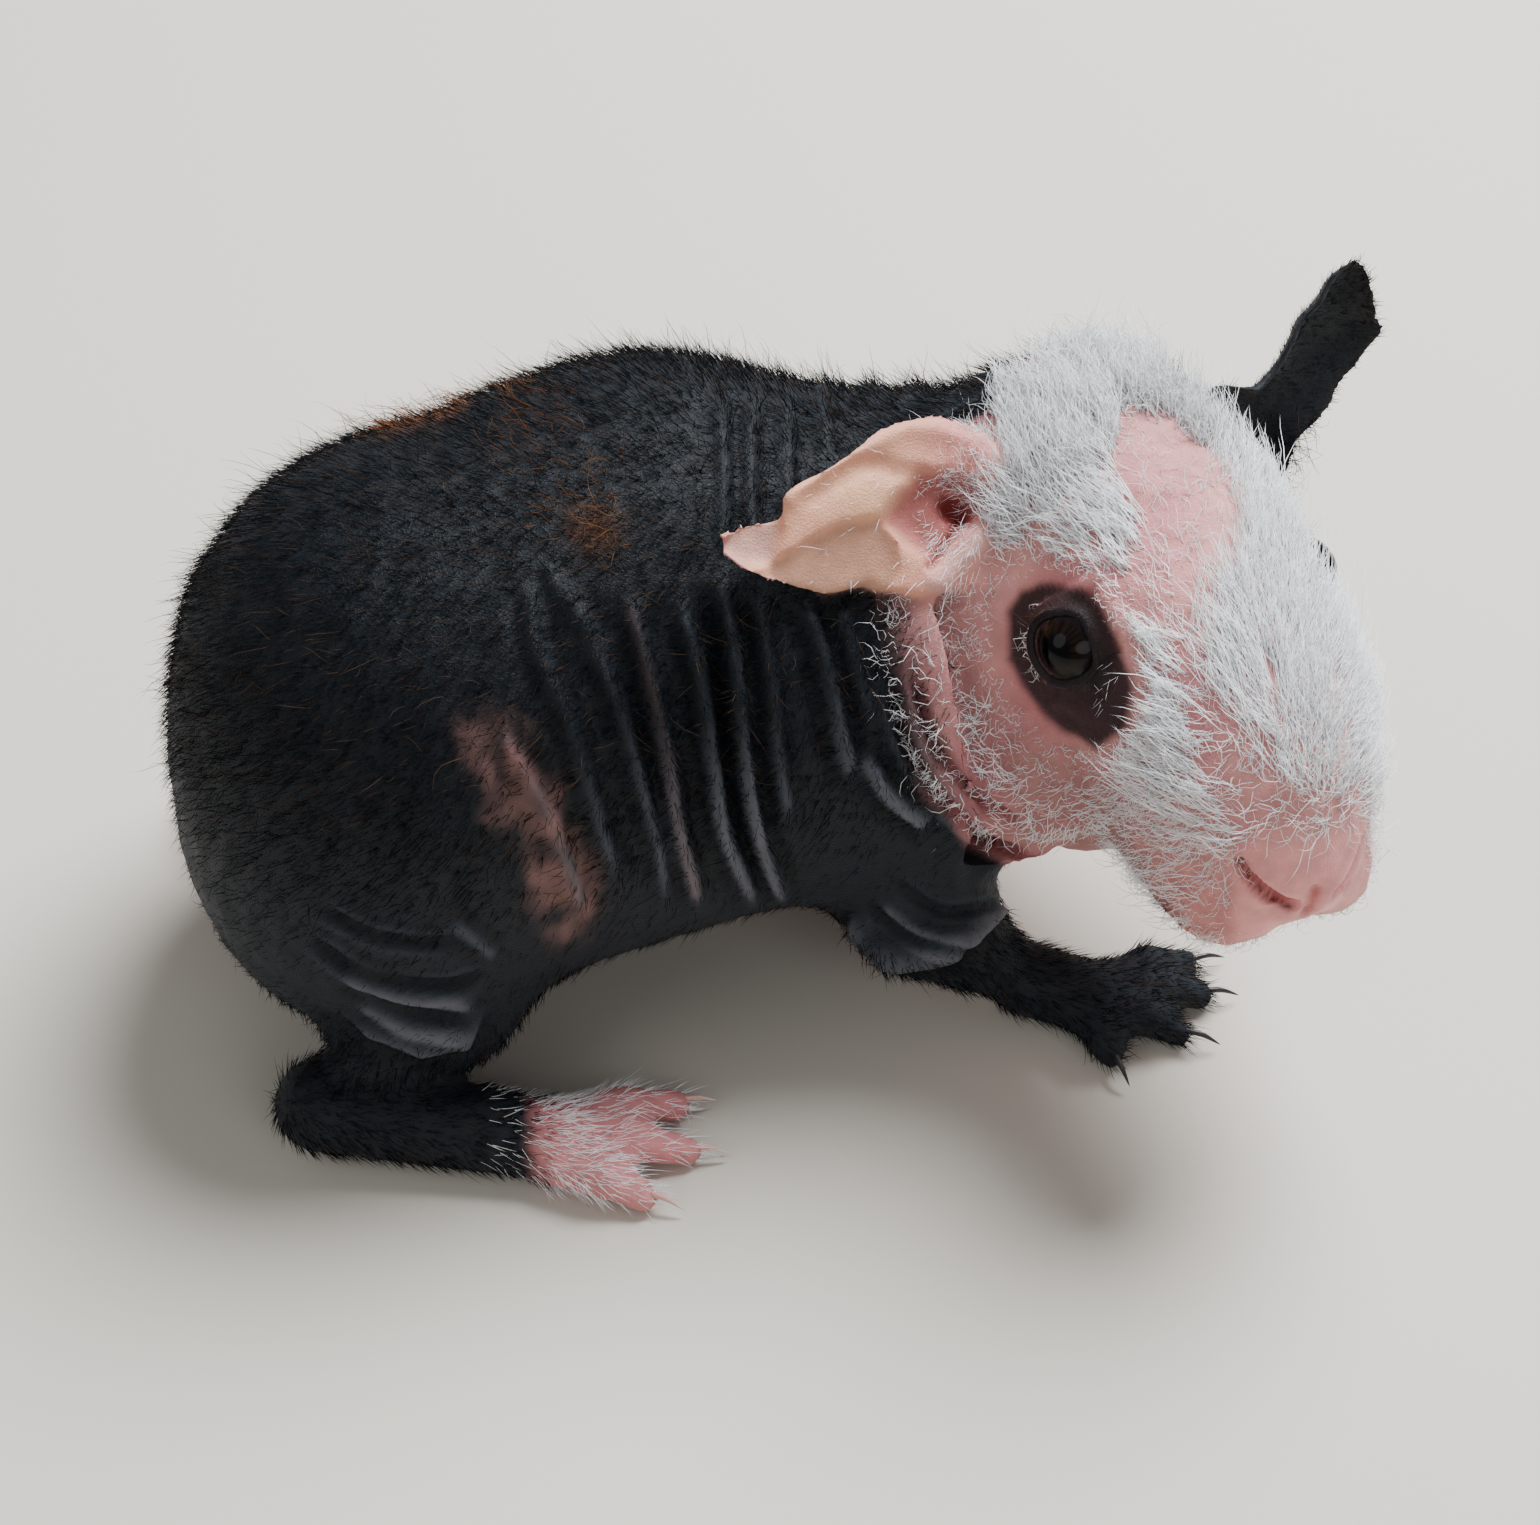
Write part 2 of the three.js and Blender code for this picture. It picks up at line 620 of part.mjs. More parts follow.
for (const [limb, { leg, upper, lower, foot }] of Object.entries(LEGS)) {
  const footForm = foot(leg);
  const sole = leg.heel ?? leg.wrist;
  const footReach = Math.hypot(...leg.ball.map((v, i) => v - sole[i])) + 24;
  const footPiece = netNear(footForm, sole, footReach, CELLS.foot);
  const footRoom = netNear((p) => footForm(p) - GAP, sole, footReach, CELLS.foot);
  const legForm = blend(1.6, blend(5, torsoForm, upper(leg)), lower(leg));
  const legPiece = cutPiece(legForm, regions[named(limb, 'leg')], CELLS.leg);
  pieces[named(limb, 'foot')] = footPiece.subtract(below(0));
  pieces[named(limb, 'leg')] = legPiece.subtract(footRoom);
  leg.toes.forEach(({ root, tip }, n) => {
    pieces[`claw_${limb}_${n + 1}`] = claw(root, tip).subtract(footRoom);
  });
}

// Colours of the photographed animal.
const SKIN = {
  black: { color: 0x1c1b1e, roughness: 0.62 },
  pink: { color: 0xd9a295, roughness: 0.5 },
  eye: { color: 0x07080b, roughness: 0.08 },
  claw: { color: 0xc9a79b, roughness: 0.4 },
  darkClaw: { color: 0x1a1716, roughness: 0.4 },
};
const PINK_PIECES = ['head', 'ear_right', 'forefoot_left', 'hindfoot_left', 'hindleg_left'];
const finishOf = (name) => {
  if (name.startsWith('eye')) return SKIN.eye;
  if (name.startsWith('claw_fore_right')) return SKIN.darkClaw;
  if (name.startsWith('claw')) return SKIN.claw;
  return PINK_PIECES.includes(name) ? SKIN.pink : SKIN.black;
};

const pig = new THREE.Group();
const bounds = new THREE.Box3();
for (const [name, piece] of Object.entries(pieces)) {
  const geometry = geometryOf(largest(piece));
  const mesh = new THREE.Mesh(geometry, new THREE.MeshStandardMaterial({ ...finishOf(name), metalness: 0 }));
  mesh.name = name;
  pig.add(mesh);
  geometry.computeBoundingBox();
  bounds.union(geometry.boundingBox);
}

// The origin is under the middle of the animal, on the floor.
const middle = bounds.getCenter(new THREE.Vector3());
pig.position.set(-middle.x, -middle.y, -bounds.min.z);

export default pig;
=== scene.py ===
# %% [markdown]
# # A young skinny pig, life size
#
# The solids give the flesh: smooth lumps for the body, head, ears, legs and feet. This lesson dresses
# them in one loose skin with folds, paints the markings, and grows the hair that a skinny pig keeps
# on its face and feet. Lengths are in millimetres while we shape, and in metres in Blender.

import math

import bpy
import numpy as np
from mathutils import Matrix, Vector
from mathutils.bvhtree import BVHTree
from mathutils.interpolate import poly_3d_calc
from mathutils.kdtree import KDTree


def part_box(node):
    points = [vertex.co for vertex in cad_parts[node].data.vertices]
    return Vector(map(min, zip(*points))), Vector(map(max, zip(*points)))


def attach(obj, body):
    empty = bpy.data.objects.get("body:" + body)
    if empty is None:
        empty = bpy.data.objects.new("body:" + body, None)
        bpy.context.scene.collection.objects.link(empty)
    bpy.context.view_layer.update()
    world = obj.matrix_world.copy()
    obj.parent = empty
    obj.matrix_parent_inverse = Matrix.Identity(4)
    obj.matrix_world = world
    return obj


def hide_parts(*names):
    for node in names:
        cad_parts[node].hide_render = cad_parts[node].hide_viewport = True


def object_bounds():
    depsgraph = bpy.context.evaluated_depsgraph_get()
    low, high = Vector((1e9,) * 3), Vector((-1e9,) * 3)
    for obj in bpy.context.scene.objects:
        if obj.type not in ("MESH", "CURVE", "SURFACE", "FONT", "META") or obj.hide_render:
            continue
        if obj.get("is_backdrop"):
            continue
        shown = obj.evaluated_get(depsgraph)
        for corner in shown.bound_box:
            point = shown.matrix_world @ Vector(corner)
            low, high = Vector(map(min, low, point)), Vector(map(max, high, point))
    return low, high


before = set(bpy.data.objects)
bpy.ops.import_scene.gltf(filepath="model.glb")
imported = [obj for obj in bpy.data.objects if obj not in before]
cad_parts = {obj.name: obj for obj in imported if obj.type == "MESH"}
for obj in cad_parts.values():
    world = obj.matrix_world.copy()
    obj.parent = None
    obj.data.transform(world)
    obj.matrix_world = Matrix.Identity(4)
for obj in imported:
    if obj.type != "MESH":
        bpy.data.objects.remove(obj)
cad_box = [list(map(float, corner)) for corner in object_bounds()]
print("solids:", len(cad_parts), "box", cad_box)

# %% [markdown]
# ## Where things are
#
# The flesh was drawn in a frame of its own and then moved so that the origin lies under its middle.
# We know where the right eye was drawn, so its solid tells us the shift, and every landmark below can
# be written where it was drawn. The head has a frame of its own: +X to the nose, +Y to its left ear,
# +Z to its crown.


# %% Frames for the body, head and eyes
def turn(yaw, pitch=0.0):
    """The matrix of a heading and then a nod, in degrees."""
    a, b = math.radians(yaw), math.radians(pitch)
    heading = np.array([[math.cos(a), -math.sin(a), 0], [math.sin(a), math.cos(a), 0], [0, 0, 1]])
    nod = np.array([[math.cos(b), 0, math.sin(b)], [0, 1, 0], [-math.sin(b), 0, math.cos(b)]])
    return heading @ nod


class Place:
    """A frame: its origin, its turn and its scale, in drawn millimetres."""

    def __init__(self, at, matrix, scale=1.0):
        self.at, self.matrix, self.scale = np.array(at, float), matrix, scale

    def out(self, p):
        return self.at + self.scale * np.asarray(p, float) @ self.matrix.T

    def into(self, p):
        return (np.asarray(p, float) - self.at) @ self.matrix / self.scale


HEAD = Place([32, -12.9, 51.2], turn(-66, 5), 1.04)
EYE_BALL = 4.0 * HEAD.scale  # radius
EYES = {
    name: Place(HEAD.out([18.8, 11.3 * side, 2.4]), HEAD.matrix @ turn(64 * side, -24))
    for name, side in (("right", -1), ("left", 1))
}
low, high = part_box("eye_right")
SHIFT = 500 * (np.array(low) + np.array(high)) - EYES["right"].at
print("shift of the drawing in mm:", SHIFT.round(2))


def to_scene(p):
    """Drawn millimetres to metres in the scene."""
    return (np.asarray(p) + SHIFT) / 1000


def to_drawn(p):
    return np.asarray(p) * 1000 - SHIFT


def add_object(name, data):
    made = bpy.data.objects.new(name, data)
    bpy.context.collection.objects.link(made)
    return made


# %% [markdown]
# ## The camera
#
# The animal is seen from above its right side, from about 40 cm away. The camera comes early because
# a landmark seen in the picture can then be written as millimetres right and up of the view's centre,
# on a plane through the animal: that is what `seen` gives for any point of the skin.

# %% Camera, and the view as a chart
VIEW_MIDDLE = np.array([0, -26.2, 26.2])
VIEW_DISTANCE = 400.0
VIEW_WIDTH = 156.8  # mm across the picture, at the middle
VIEW_TILT = math.radians(45)
MARK_MIDDLE = 784  # landmarks are in tenths of a mm from the picture's corner, so its middle is here
view_ahead = np.array([0, math.cos(VIEW_TILT), -math.sin(VIEW_TILT)])
view_up = np.array([0, math.sin(VIEW_TILT), math.cos(VIEW_TILT)])
view_from = VIEW_MIDDLE - VIEW_DISTANCE * view_ahead

camera = add_object("camera", bpy.data.cameras.new("camera"))
camera.data.sensor_width = 36
camera.data.lens = 36 * VIEW_DISTANCE / VIEW_WIDTH
camera.data.clip_start = 0.01
camera.location = to_scene(view_from)
camera.rotation_euler = (math.pi / 2 - VIEW_TILT, 0, 0)
bpy.context.scene.camera = camera


def seen(p):
    """Right and up in the view, in mm, and how far in front of the middle plane a point is."""
    q = np.asarray(p) - view_from
    depth = q @ view_ahead
    return np.stack([q[:, 0], q @ view_up], 1) * (VIEW_DISTANCE / depth)[:, None], depth


def at_view(points):
    """Landmarks measured on the picture, as mm right and up of its middle."""
    return np.array([[(x - MARK_MIDDLE) / 10, (MARK_MIDDLE - y) / 10] for x, y in points])


print("camera lens", round(camera.data.lens, 1), "mm")

# %% [markdown]
# ## Small tools
#
# A soft step, a soft noise that is the same on every run, and the distance to a line of points. With
# these three, every fold and marking is a short formula over the skin's points.


# %% Steps, noise and distances
def step(a, b, x):
    t = np.clip((x - a) / (b - a), 0, 1)
    return t * t * (3 - 2 * t)


def noise(p, size, seed=0):
    """Smooth values from -1 to 1 that change over about `size` millimetres."""
    q = np.asarray(p) / size + seed * 17.31
    cell = np.floor(q).astype(np.int64)
    t = q - cell
    t = t * t * (3 - 2 * t)
    total = np.zeros(len(q))
    for corner in range(8):
        offset = np.array([corner & 1, (corner >> 1) & 1, corner >> 2])
        c = cell + offset
        h = (c[:, 0] * 73856093) ^ (c[:, 1] * 19349663) ^ (c[:, 2] * 83492791) ^ (seed * 2654435)
        h = (h ^ (h >> 13)) * 1274126177 & 0x7FFFFFFF
        value = ((h ^ (h >> 16)) % 65536) / 32767.5 - 1
        weight = np.prod(np.where(offset, t, 1 - t), axis=1)
        total += weight * value
    return total


def line_distance(p, line):
    """Distance from each point to a broken line, and the share of its length at the nearest place."""
    line = np.asarray(line, float)
    best = np.full(len(p), 1e9)
    where = np.zeros(len(p))
    lengths = np.linalg.norm(np.diff(line, axis=0), axis=1)
    run = 0.0
    for a, b, length in zip(line[:-1], line[1:], lengths):
        t = np.clip((p - a) @ (b - a) / length**2, 0, 1)
        d = np.linalg.norm(p - a - t[:, None] * (b - a), axis=1)
        nearer = d < best
        best[nearer] = d[nearer]
        where[nearer] = (run + t[nearer] * length) / lengths.sum()
        run += length
    return best, where


def curve(line):
    """A smooth line of many points through a few."""
    p = np.asarray(line, float)
    p = np.vstack([2 * p[0] - p[1], p, 2 * p[-1] - p[-2]])
    out = []
    for a, b, c, d in zip(p[:-3], p[1:-2], p[2:-1], p[3:]):
        square, cube = 2 * a - 5 * b + 4 * c - d, 3 * b - a - 3 * c + d
        for t in np.linspace(0, 1, 6, endpoint=False):
            out.append(0.5 * (2 * b + (c - a) * t + square * t**2 + cube * t**3))
    return np.array(out + [p[-2]])


def inside(p, outline):
    """Distance to a closed outline, positive inside it."""
    outline = np.asarray(outline, float)
    odd = np.zeros(len(p), bool)
    for a, b in zip(outline, np.roll(outline, -1, axis=0)):
        crosses = (a[1] > p[:, 1]) != (b[1] > p[:, 1])
        rise = b[1] - a[1] if b[1] != a[1] else 1e-9
        odd ^= crosses & (p[:, 0] < (b[0] - a[0]) * (p[:, 1] - a[1]) / rise + a[0])
    d, _ = line_distance(p, np.vstack([outline, outline[:1]]))
    return np.where(odd, d, -d)


# %% [markdown]
# ## One skin over all the flesh
#
# The flesh comes in pieces with thin gaps between them. We copy the pieces, swell them by a hair so
# that the gaps close, fill the eye sockets with balls, and let a voxel remesh wrap everything in one
# closed, even mesh. Sculpting code likes such a mesh, because its points are all about half a
# millimetre apart.

# %% Join the flesh and remesh it
FLESH = [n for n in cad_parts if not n.startswith(("claw", "eye"))]
SWELL = 0.25  # mm, as are the next two
VOXEL = 0.45
COAT_DEPTH = 0.3  # the skin lies this far inside the solids, and the hair makes up for it


def mesh_object(name, points, faces):
    mesh = bpy.data.meshes.new(name)
    mesh.from_pydata([tuple(p) for p in points], [], [tuple(f) for f in faces])
    mesh.validate()
    return add_object(name, mesh)


def arrays(mesh):
    """Points in drawn mm, and quads (a triangle repeats its last corner)."""
    points = np.empty(3 * len(mesh.vertices))
    mesh.vertices.foreach_get("co", points)
    starts = np.empty(len(mesh.polygons), int)
    counts = np.empty(len(mesh.polygons), int)
    corners = np.empty(len(mesh.loops), int)
    mesh.polygons.foreach_get("loop_start", starts)
    mesh.polygons.foreach_get("loop_total", counts)
    mesh.loops.foreach_get("vertex_index", corners)
    steps = np.minimum(np.arange(4)[None], counts[:, None] - 1)
    return to_drawn(points.reshape(-1, 3)), corners[starts[:, None] + steps]


def normals_of(points, quads):
    a, b, c, d = (points[quads[:, i]] for i in range(4))
    face = np.cross(c - a, d - b)
    flat = quads[:, 2] == quads[:, 3]
    face[flat] = np.cross(b[flat] - a[flat], c[flat] - a[flat])
    total = np.zeros_like(points)
    for i in range(4):
        for axis in range(3):
            total[:, axis] += np.bincount(quads[:, i], face[:, axis], len(points))
    return total / np.maximum(np.linalg.norm(total, axis=1), 1e-12)[:, None]


def ball(at, radius, rings=24, sides=36):
    points = [at + radius * np.array([0, 0, 1])]
    for r in range(1, rings):
        polar = math.pi * r / rings
        out = math.sin(polar)
        for s in range(sides):
            a = 2 * math.pi * s / sides
            points.append(at + radius * np.array([out * math.cos(a), out * math.sin(a), math.cos(polar)]))
    points.append(at - radius * np.array([0, 0, 1]))
    faces = [(0, 1 + s, 1 + (s + 1) % sides) for s in range(sides)]
    for r in range(rings - 2):
        for s in range(sides):
            a, b = 1 + r * sides + s, 1 + r * sides + (s + 1) % sides
            faces.append((a, a + sides, b + sides, b))
    last = len(points) - 1
    first = last - sides
    faces += [(last, first + (s + 1) % sides, first + s) for s in range(sides)]
    return np.array(points), faces


print("flesh nodes:", len(FLESH))

# %% [markdown]
# ## Ears
#
# An ear is a thin sheet of skin with a rolled rim, a crease and a bowl, and its outline is what the
# eye checks first. So each ear is a sheet of its own: an outline marked on the view, laid at a few
# depths from the view, and pushed off them by a smooth field of heights. The right ear's depths are
# listed; the left ear leans away from its root. The sheet then joins the skin as the solid would have.


# %% Ear sheets
def smooth_field(places, heights):
    """A thin-plate surface through a few heights: returns a function of chart points."""
    k = np.asarray(places, float)

    def bend(a, b):
        r2 = ((a[:, None] - b[None]) ** 2).sum(2) + 1e-9
        return 0.5 * r2 * np.log(r2)

    flat_part = np.hstack([np.ones((len(k), 1)), k])
    system = np.block([[bend(k, k), flat_part], [flat_part.T, np.zeros((3, 3))]])
    answer = np.linalg.solve(system, np.append(heights, [0, 0, 0]))
    return lambda p: bend(p, k) @ answer[:-3] + np.hstack([np.ones((len(p), 1)), p]) @ answer[-3:]


def solid_plane(name):
    """The middle of a node and the direction it is thinnest in, turned to the view."""
    cloud, _ = arrays(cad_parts[name].data)
    middle = cloud.mean(0)
    thin = np.linalg.svd(cloud - middle, full_matrices=False)[2][2]
    return middle, thin if thin @ view_ahead < 0 else -thin


def ear_sheet(outline, centre, depth_of, facing_out, relief, thickness, rings=26):
    """Points and faces of a sheet inside an outline of the view, at a depth and pushed off by relief."""
    rim = curve(np.vstack([outline, outline[:1]]))[:-1]
    sides = len(rim)
    turned = np.sum(rim[:, 0] * np.roll(rim[:, 1], -1) - rim[:, 1] * np.roll(rim[:, 0], -1))
    rim = rim if turned > 0 else rim[::-1]
    r = 1 - (1 - np.linspace(0, 1, rings + 1)[1:]) ** 1.5
    chart = np.vstack([[centre], (centre + r[:, None, None] * (rim - centre)).reshape(-1, 2)])
    half = 0.5 * thickness * np.append(1.0, np.repeat(np.sqrt(1 - np.minimum(r, 0.9999) ** 8), sides))
    ray = VIEW_DISTANCE * view_ahead + chart[:, :1] * [1, 0, 0] + chart[:, 1:] * view_up
    mid = view_from + ray * depth_of(chart)[:, None] / VIEW_DISTANCE
    mid = mid + relief(chart)[:, None] * facing_out
    p = np.vstack([mid + half[:, None] * facing_out, mid - half[:, None] * facing_out])
    faces = [(0, 1 + k, 1 + (k + 1) % sides) for k in range(sides)]
    for ring in range(rings - 1):
        for k in range(sides):
            a, b = 1 + ring * sides + k, 1 + ring * sides + (k + 1) % sides
            faces.append((a, a + sides, b + sides, b))
    shift = len(chart)
    return p, faces + [tuple(i + shift for i in f[::-1]) for f in faces]


RIGHT_EAR = [
    (729, 563), (733, 552), (748, 543), (769, 537), (790, 533), (792, 520), (796, 507), (819, 493),
    (844, 481), (869, 462), (894, 443), (923, 432), (951, 428), (983, 435), (1011, 448), (1033, 470),
    (1046, 502), (1040, 536), (1021, 574), (989, 606), (958, 620), (920, 618), (894, 610), (876, 609),
    (857, 616), (838, 617), (812, 610), (785, 602), (758, 591), (737, 577),
]
LEFT_EAR = [
    (1205, 406), (1216, 398), (1229, 393), (1245, 391), (1263, 391), (1274, 384), (1286, 372),
    (1298, 350), (1315, 323), (1328, 301), (1340, 281), (1351, 270), (1364, 263), (1375, 263),
    (1384, 276), (1388, 296), (1389, 317), (1398, 330), (1394, 342), (1374, 369), (1355, 393),
    (1346, 413), (1320, 436), (1303, 460), (1298, 492), (1274, 507), (1237, 492), (1215, 448),
]
EAR_LOWER = [
    (786, 580), (812, 569), (844, 549), (866, 541), (890, 538), (913, 562), (913, 593), (894, 625),
    (857, 625), (812, 615), (781, 593),
]
EAR_TIP = [(730, 562), (749, 544), (792, 532), (796, 546), (789, 579), (759, 584)]
EAR_BOWL = [
    (893, 541), (912, 512), (936, 488), (974, 487), (1010, 502), (1020, 526), (995, 539), (978, 543),
    (953, 584), (920, 562),
]
EAR_RIM = [(806, 515), (844, 487), (882, 462), (920, 445), (958, 445), (995, 462), (1021, 483)]
EAR_FURROW = [(822, 519), (853, 496), (882, 482), (910, 489), (932, 492)]
EAR_HEIGHTS = [
    ((745, 558), -0.6), ((780, 560), -0.3), ((800, 520), 0.9), ((850, 520), 1.6), ((880, 462), 0.8),
    ((950, 432), 0.4), ((1020, 470), -0.5), ((930, 480), 1.5), ((850, 590), 0.2), ((800, 590), -0.2),
    ((920, 600), 0.2), ((980, 600), -0.5), ((1030, 540), -0.6), ((970, 520), 0.6), ((880, 540), 1.4),
]


def right_relief(chart):
    field = smooth_field(at_view([p for p, _ in EAR_HEIGHTS]), np.array([h for _, h in EAR_HEIGHTS]))
    h = field(chart)
    h -= 1.3 * step(-0.35, 0.45, inside(chart, at_view(EAR_LOWER)))
    h -= 1.2 * step(-0.3, 0.4, inside(chart, at_view(EAR_TIP)))
    h -= 2.6 * step(-0.6, 2.0, inside(chart, at_view(EAR_BOWL)))
    h += 1.1 * np.exp(-((line_distance(chart, curve(at_view(EAR_RIM)))[0] / 1.4) ** 2))
    return h - 0.9 * np.exp(-((line_distance(chart, curve(at_view(EAR_FURROW)))[0] / 0.8) ** 2))


def left_relief(chart):
    edge = inside(chart, at_view(LEFT_EAR))
    crinkle = noise(np.hstack([chart, 0 * chart[:, :1]]), 3.0, 71)
    return 1.5 * np.exp(-((edge / 1.3) ** 2)) + 0.5 * crinkle - 0.8 * np.exp(-(((edge - 3.2) / 1.4) ** 2))


middle_left, out_left = solid_plane("ear_left")
LEFT_ROOT = (1258, 478)
LEFT_LEAN = 0.42  # share of the slope of the solid's plane
EAR_DEPTHS = [
    ((745, 558), 366.6), ((780, 560), 368.4), ((830, 560), 371.0), ((830, 500), 371.6),
    ((880, 470), 373.2), ((880, 590), 373.2), ((930, 440), 375.6), ((930, 610), 375.6),
    ((980, 450), 378.0), ((980, 540), 378.2), ((1040, 500), 380.0), ((980, 610), 378.6),
]


def right_depth(chart):
    """From the view to the ear's middle, in mm: the tip stands nearest, the root lies on the skull."""
    return smooth_field(at_view([p for p, _ in EAR_DEPTHS]), np.array([d for _, d in EAR_DEPTHS]))(chart)


def left_depth(chart):
    """From the root on, it leans away at under half the slope of the solid's plane."""
    both = np.vstack([at_view([LEFT_ROOT]), chart])
    ray = VIEW_DISTANCE * view_ahead + both[:, :1] * [1, 0, 0] + both[:, 1:] * view_up
    plane = VIEW_DISTANCE * ((middle_left - view_from) @ out_left) / (ray @ out_left)
    return plane[0] + LEFT_LEAN * (plane[1:] - plane[0])


right_middle, left_middle = at_view([(900, 530), (1318, 385)])
sheets = {
    "ear_right": ear_sheet(at_view(RIGHT_EAR), right_middle, right_depth, -view_ahead, right_relief, 1.8),
    "ear_left": ear_sheet(at_view(LEFT_EAR), left_middle, left_depth, out_left, left_relief, 1.5),
}
print("left ear's plane faces", out_left.round(2))

# %% Gather the sheets, the flesh, the jaw and the eye sockets
JAW = [((24, 0, -14.6), (12.0, 8.0, 4.6)), ((12, -5.5, -21.5), (12.0, 10.0, 10.5))]  # chin and dewlap
SOCKET_SKIN = 1.25  # mm of skin over each eyeball before the lids open
sources = dict(sheets)
for node in FLESH:
    if node not in sources:
        points, quads = arrays(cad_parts[node].data)
        faces = [tuple(dict.fromkeys(q)) for q in quads.tolist()]
        sources[node] = (points + SWELL * normals_of(points, quads), faces)
for k, (at, radii) in enumerate(JAW):
    points, faces = ball(np.zeros(3), 1.0)
    sources[f"jaw_{k}"] = (HEAD.out(np.array(at) + points * radii), faces)
for name, eye in EYES.items():
    sources[f"socket_{name}"] = ball(eye.at, EYE_BALL + SOCKET_SKIN)
all_points, all_faces, origin, count = [], [], [], 0
for name, (points, faces) in sources.items():
    all_points.append(points)
    all_faces += [tuple(i + count for i in f) for f in faces]
    origin += [name] * len(faces)
    count += len(points)
all_points = np.vstack(all_points)
skin = mesh_object("skin", to_scene(all_points), all_faces)
skin.data.remesh_voxel_size = VOXEL / 1000
remesh = skin.modifiers.new("wrap", "REMESH")
remesh.mode = "VOXEL"
remesh.voxel_size = VOXEL / 1000


def bake_modifiers(piece):
    """Replaces a piece's mesh with the one its modifiers make."""
    made = bpy.data.meshes.new_from_object(piece.evaluated_get(bpy.context.evaluated_depsgraph_get()))
    piece.modifiers.clear()
    piece.data = made


bake_modifiers(skin)
points, quads = arrays(skin.data)
print("skin points after the remesh:", len(points))

# %% [markdown]
# ## Which part is which
#
# Every point of the skin remembers the solid it came from, as soft weights that run from 0 to 1 over
# a few points. They tell an ear from the neck behind it. The weights also find the old seams, which
# get extra smoothing, so that the flesh flows from one part to the next.

# %% Neighbours, part weights and smoothing
edges = np.sort(np.vstack([quads[:, [i, (i + 1) % 4]] for i in range(4)]), axis=1)
edges = np.unique(edges[edges[:, 0] != edges[:, 1]], axis=0)
one, two = edges.T
COUNT = len(points)
degree = (np.bincount(one, minlength=COUNT) + np.bincount(two, minlength=COUNT))[:, None]


def relax(values, rounds):
    """Moves each value halfway to the mean of its neighbours, over and over."""
    v = values.reshape(COUNT, -1).astype(float)
    for _ in range(rounds):
        total = [np.bincount(one, c[two], COUNT) + np.bincount(two, c[one], COUNT) for c in v.T]
        v = v + 0.5 * (np.stack(total, 1) / degree - v)
    return v.reshape(values.shape)


surface = BVHTree.FromPolygons(all_points.tolist(), all_faces)
of_face = [name if name in FLESH else "head" for name in origin]
nearest = [of_face[surface.find_nearest(q)[2]] for q in points.tolist()]
part = {n: relax(np.array([m == n for m in nearest], float), 4) for n in FLESH}


def of_parts(*names):
    """The joint weight of some parts, at most 1."""
    return np.clip(sum(part[n] for n in names), 0, 1)


CHEEK_SEAM = [(930, 615), (950, 668), (963, 722), (985, 806), (1015, 850)]  # where cheek meets neck
SEAM_ROUNDS = 6
seam = 1 - np.max(np.stack(list(part.values())), axis=0)
seam = np.clip(relax(np.minimum(seam * 4, 1), 12) * 2.2, 0, 1)
points = relax(points, 3)
seen_at, _ = seen(points)
jaw_line = np.exp(-((line_distance(seen_at, curve(at_view(CHEEK_SEAM)))[0] / 2.4) ** 2))
jaw_line *= step(0.0, 0.3, -normals_of(points, quads) @ view_ahead) * (1 - part["ear_right"])
seam = np.maximum(seam, jaw_line)
for _ in range(SEAM_ROUNDS):
    points = points + 0.9 * seam[:, None] * (relax(points, 6) - points)
ears = part["ear_right"] + part["ear_left"]
feet = sum(part[n] for n in FLESH if "foot" in n)
normals = normals_of(points, quads)
points = points - ((SWELL + COAT_DEPTH) * (1 - 0.45 * np.minimum(ears + feet, 1)))[:, None] * normals
print("parts weighted:", len(part), " seam points:", int((seam > 0.5).sum()))

# %% [markdown]
# ## Eyelids
#
# The eye fills its opening: no white shows. A ball was wrapped in the skin at each eye, so the skin
# bulges there as a closed lid. We open it by sinking the points inside an almond shape below the
# eyeball's surface, and leave a round rim about half a millimetre thick, as a real lid has.

# %% Open the eyelids
LID_HALF_WIDTH = 54.0  # degrees round the ball
LID_HALF_HEIGHT = 53.0
lid = np.full(COUNT, 9.0)  # 1 at the rim of an opening, less inside
lid_side = np.zeros(COUNT)
for name, eye in EYES.items():
    q = eye.into(points)
    r = np.linalg.norm(q, axis=1)
    near = (r < EYE_BALL + 3.5) & (q[:, 0] > 0)
    across = np.degrees(np.arctan2(q[near, 1], q[near, 0]))
    tall = np.degrees(np.arctan2(q[near, 2], q[near, 0]))
    e = np.hypot(across / LID_HALF_WIDTH, tall / LID_HALF_HEIGHT)
    lid[near] = np.minimum(lid[near], e)
    lid_side[near] = 1 if name == "left" else -1
    rim = EYE_BALL + 0.62 - 1.7 * step(1.1, 0.86, e)
    hold = step(1.6, 1.15, e)
    new_r = r[near] * (1 - hold) + rim * hold
    points[near] = eye.out(q[near] * (new_r / r[near])[:, None])
print("points at the lids:", int((lid < 1.2).sum()))

# %% [markdown]
# ## Folds
#
# A skinny pig's skin is too large for it. It gathers in narrow upright ridges on the flanks, in deep
# rolls under the throat, and in sleeves above the knee and elbow. We could sculpt them by hand, but a
# list is easier to read: each fold is a line of landmarks, a height and a width, and the skin rises
# beside the line as a smooth bell with a dip at each side. The right side's lines are marked on the
# view, and the left side's on a plain side view, forward and up.

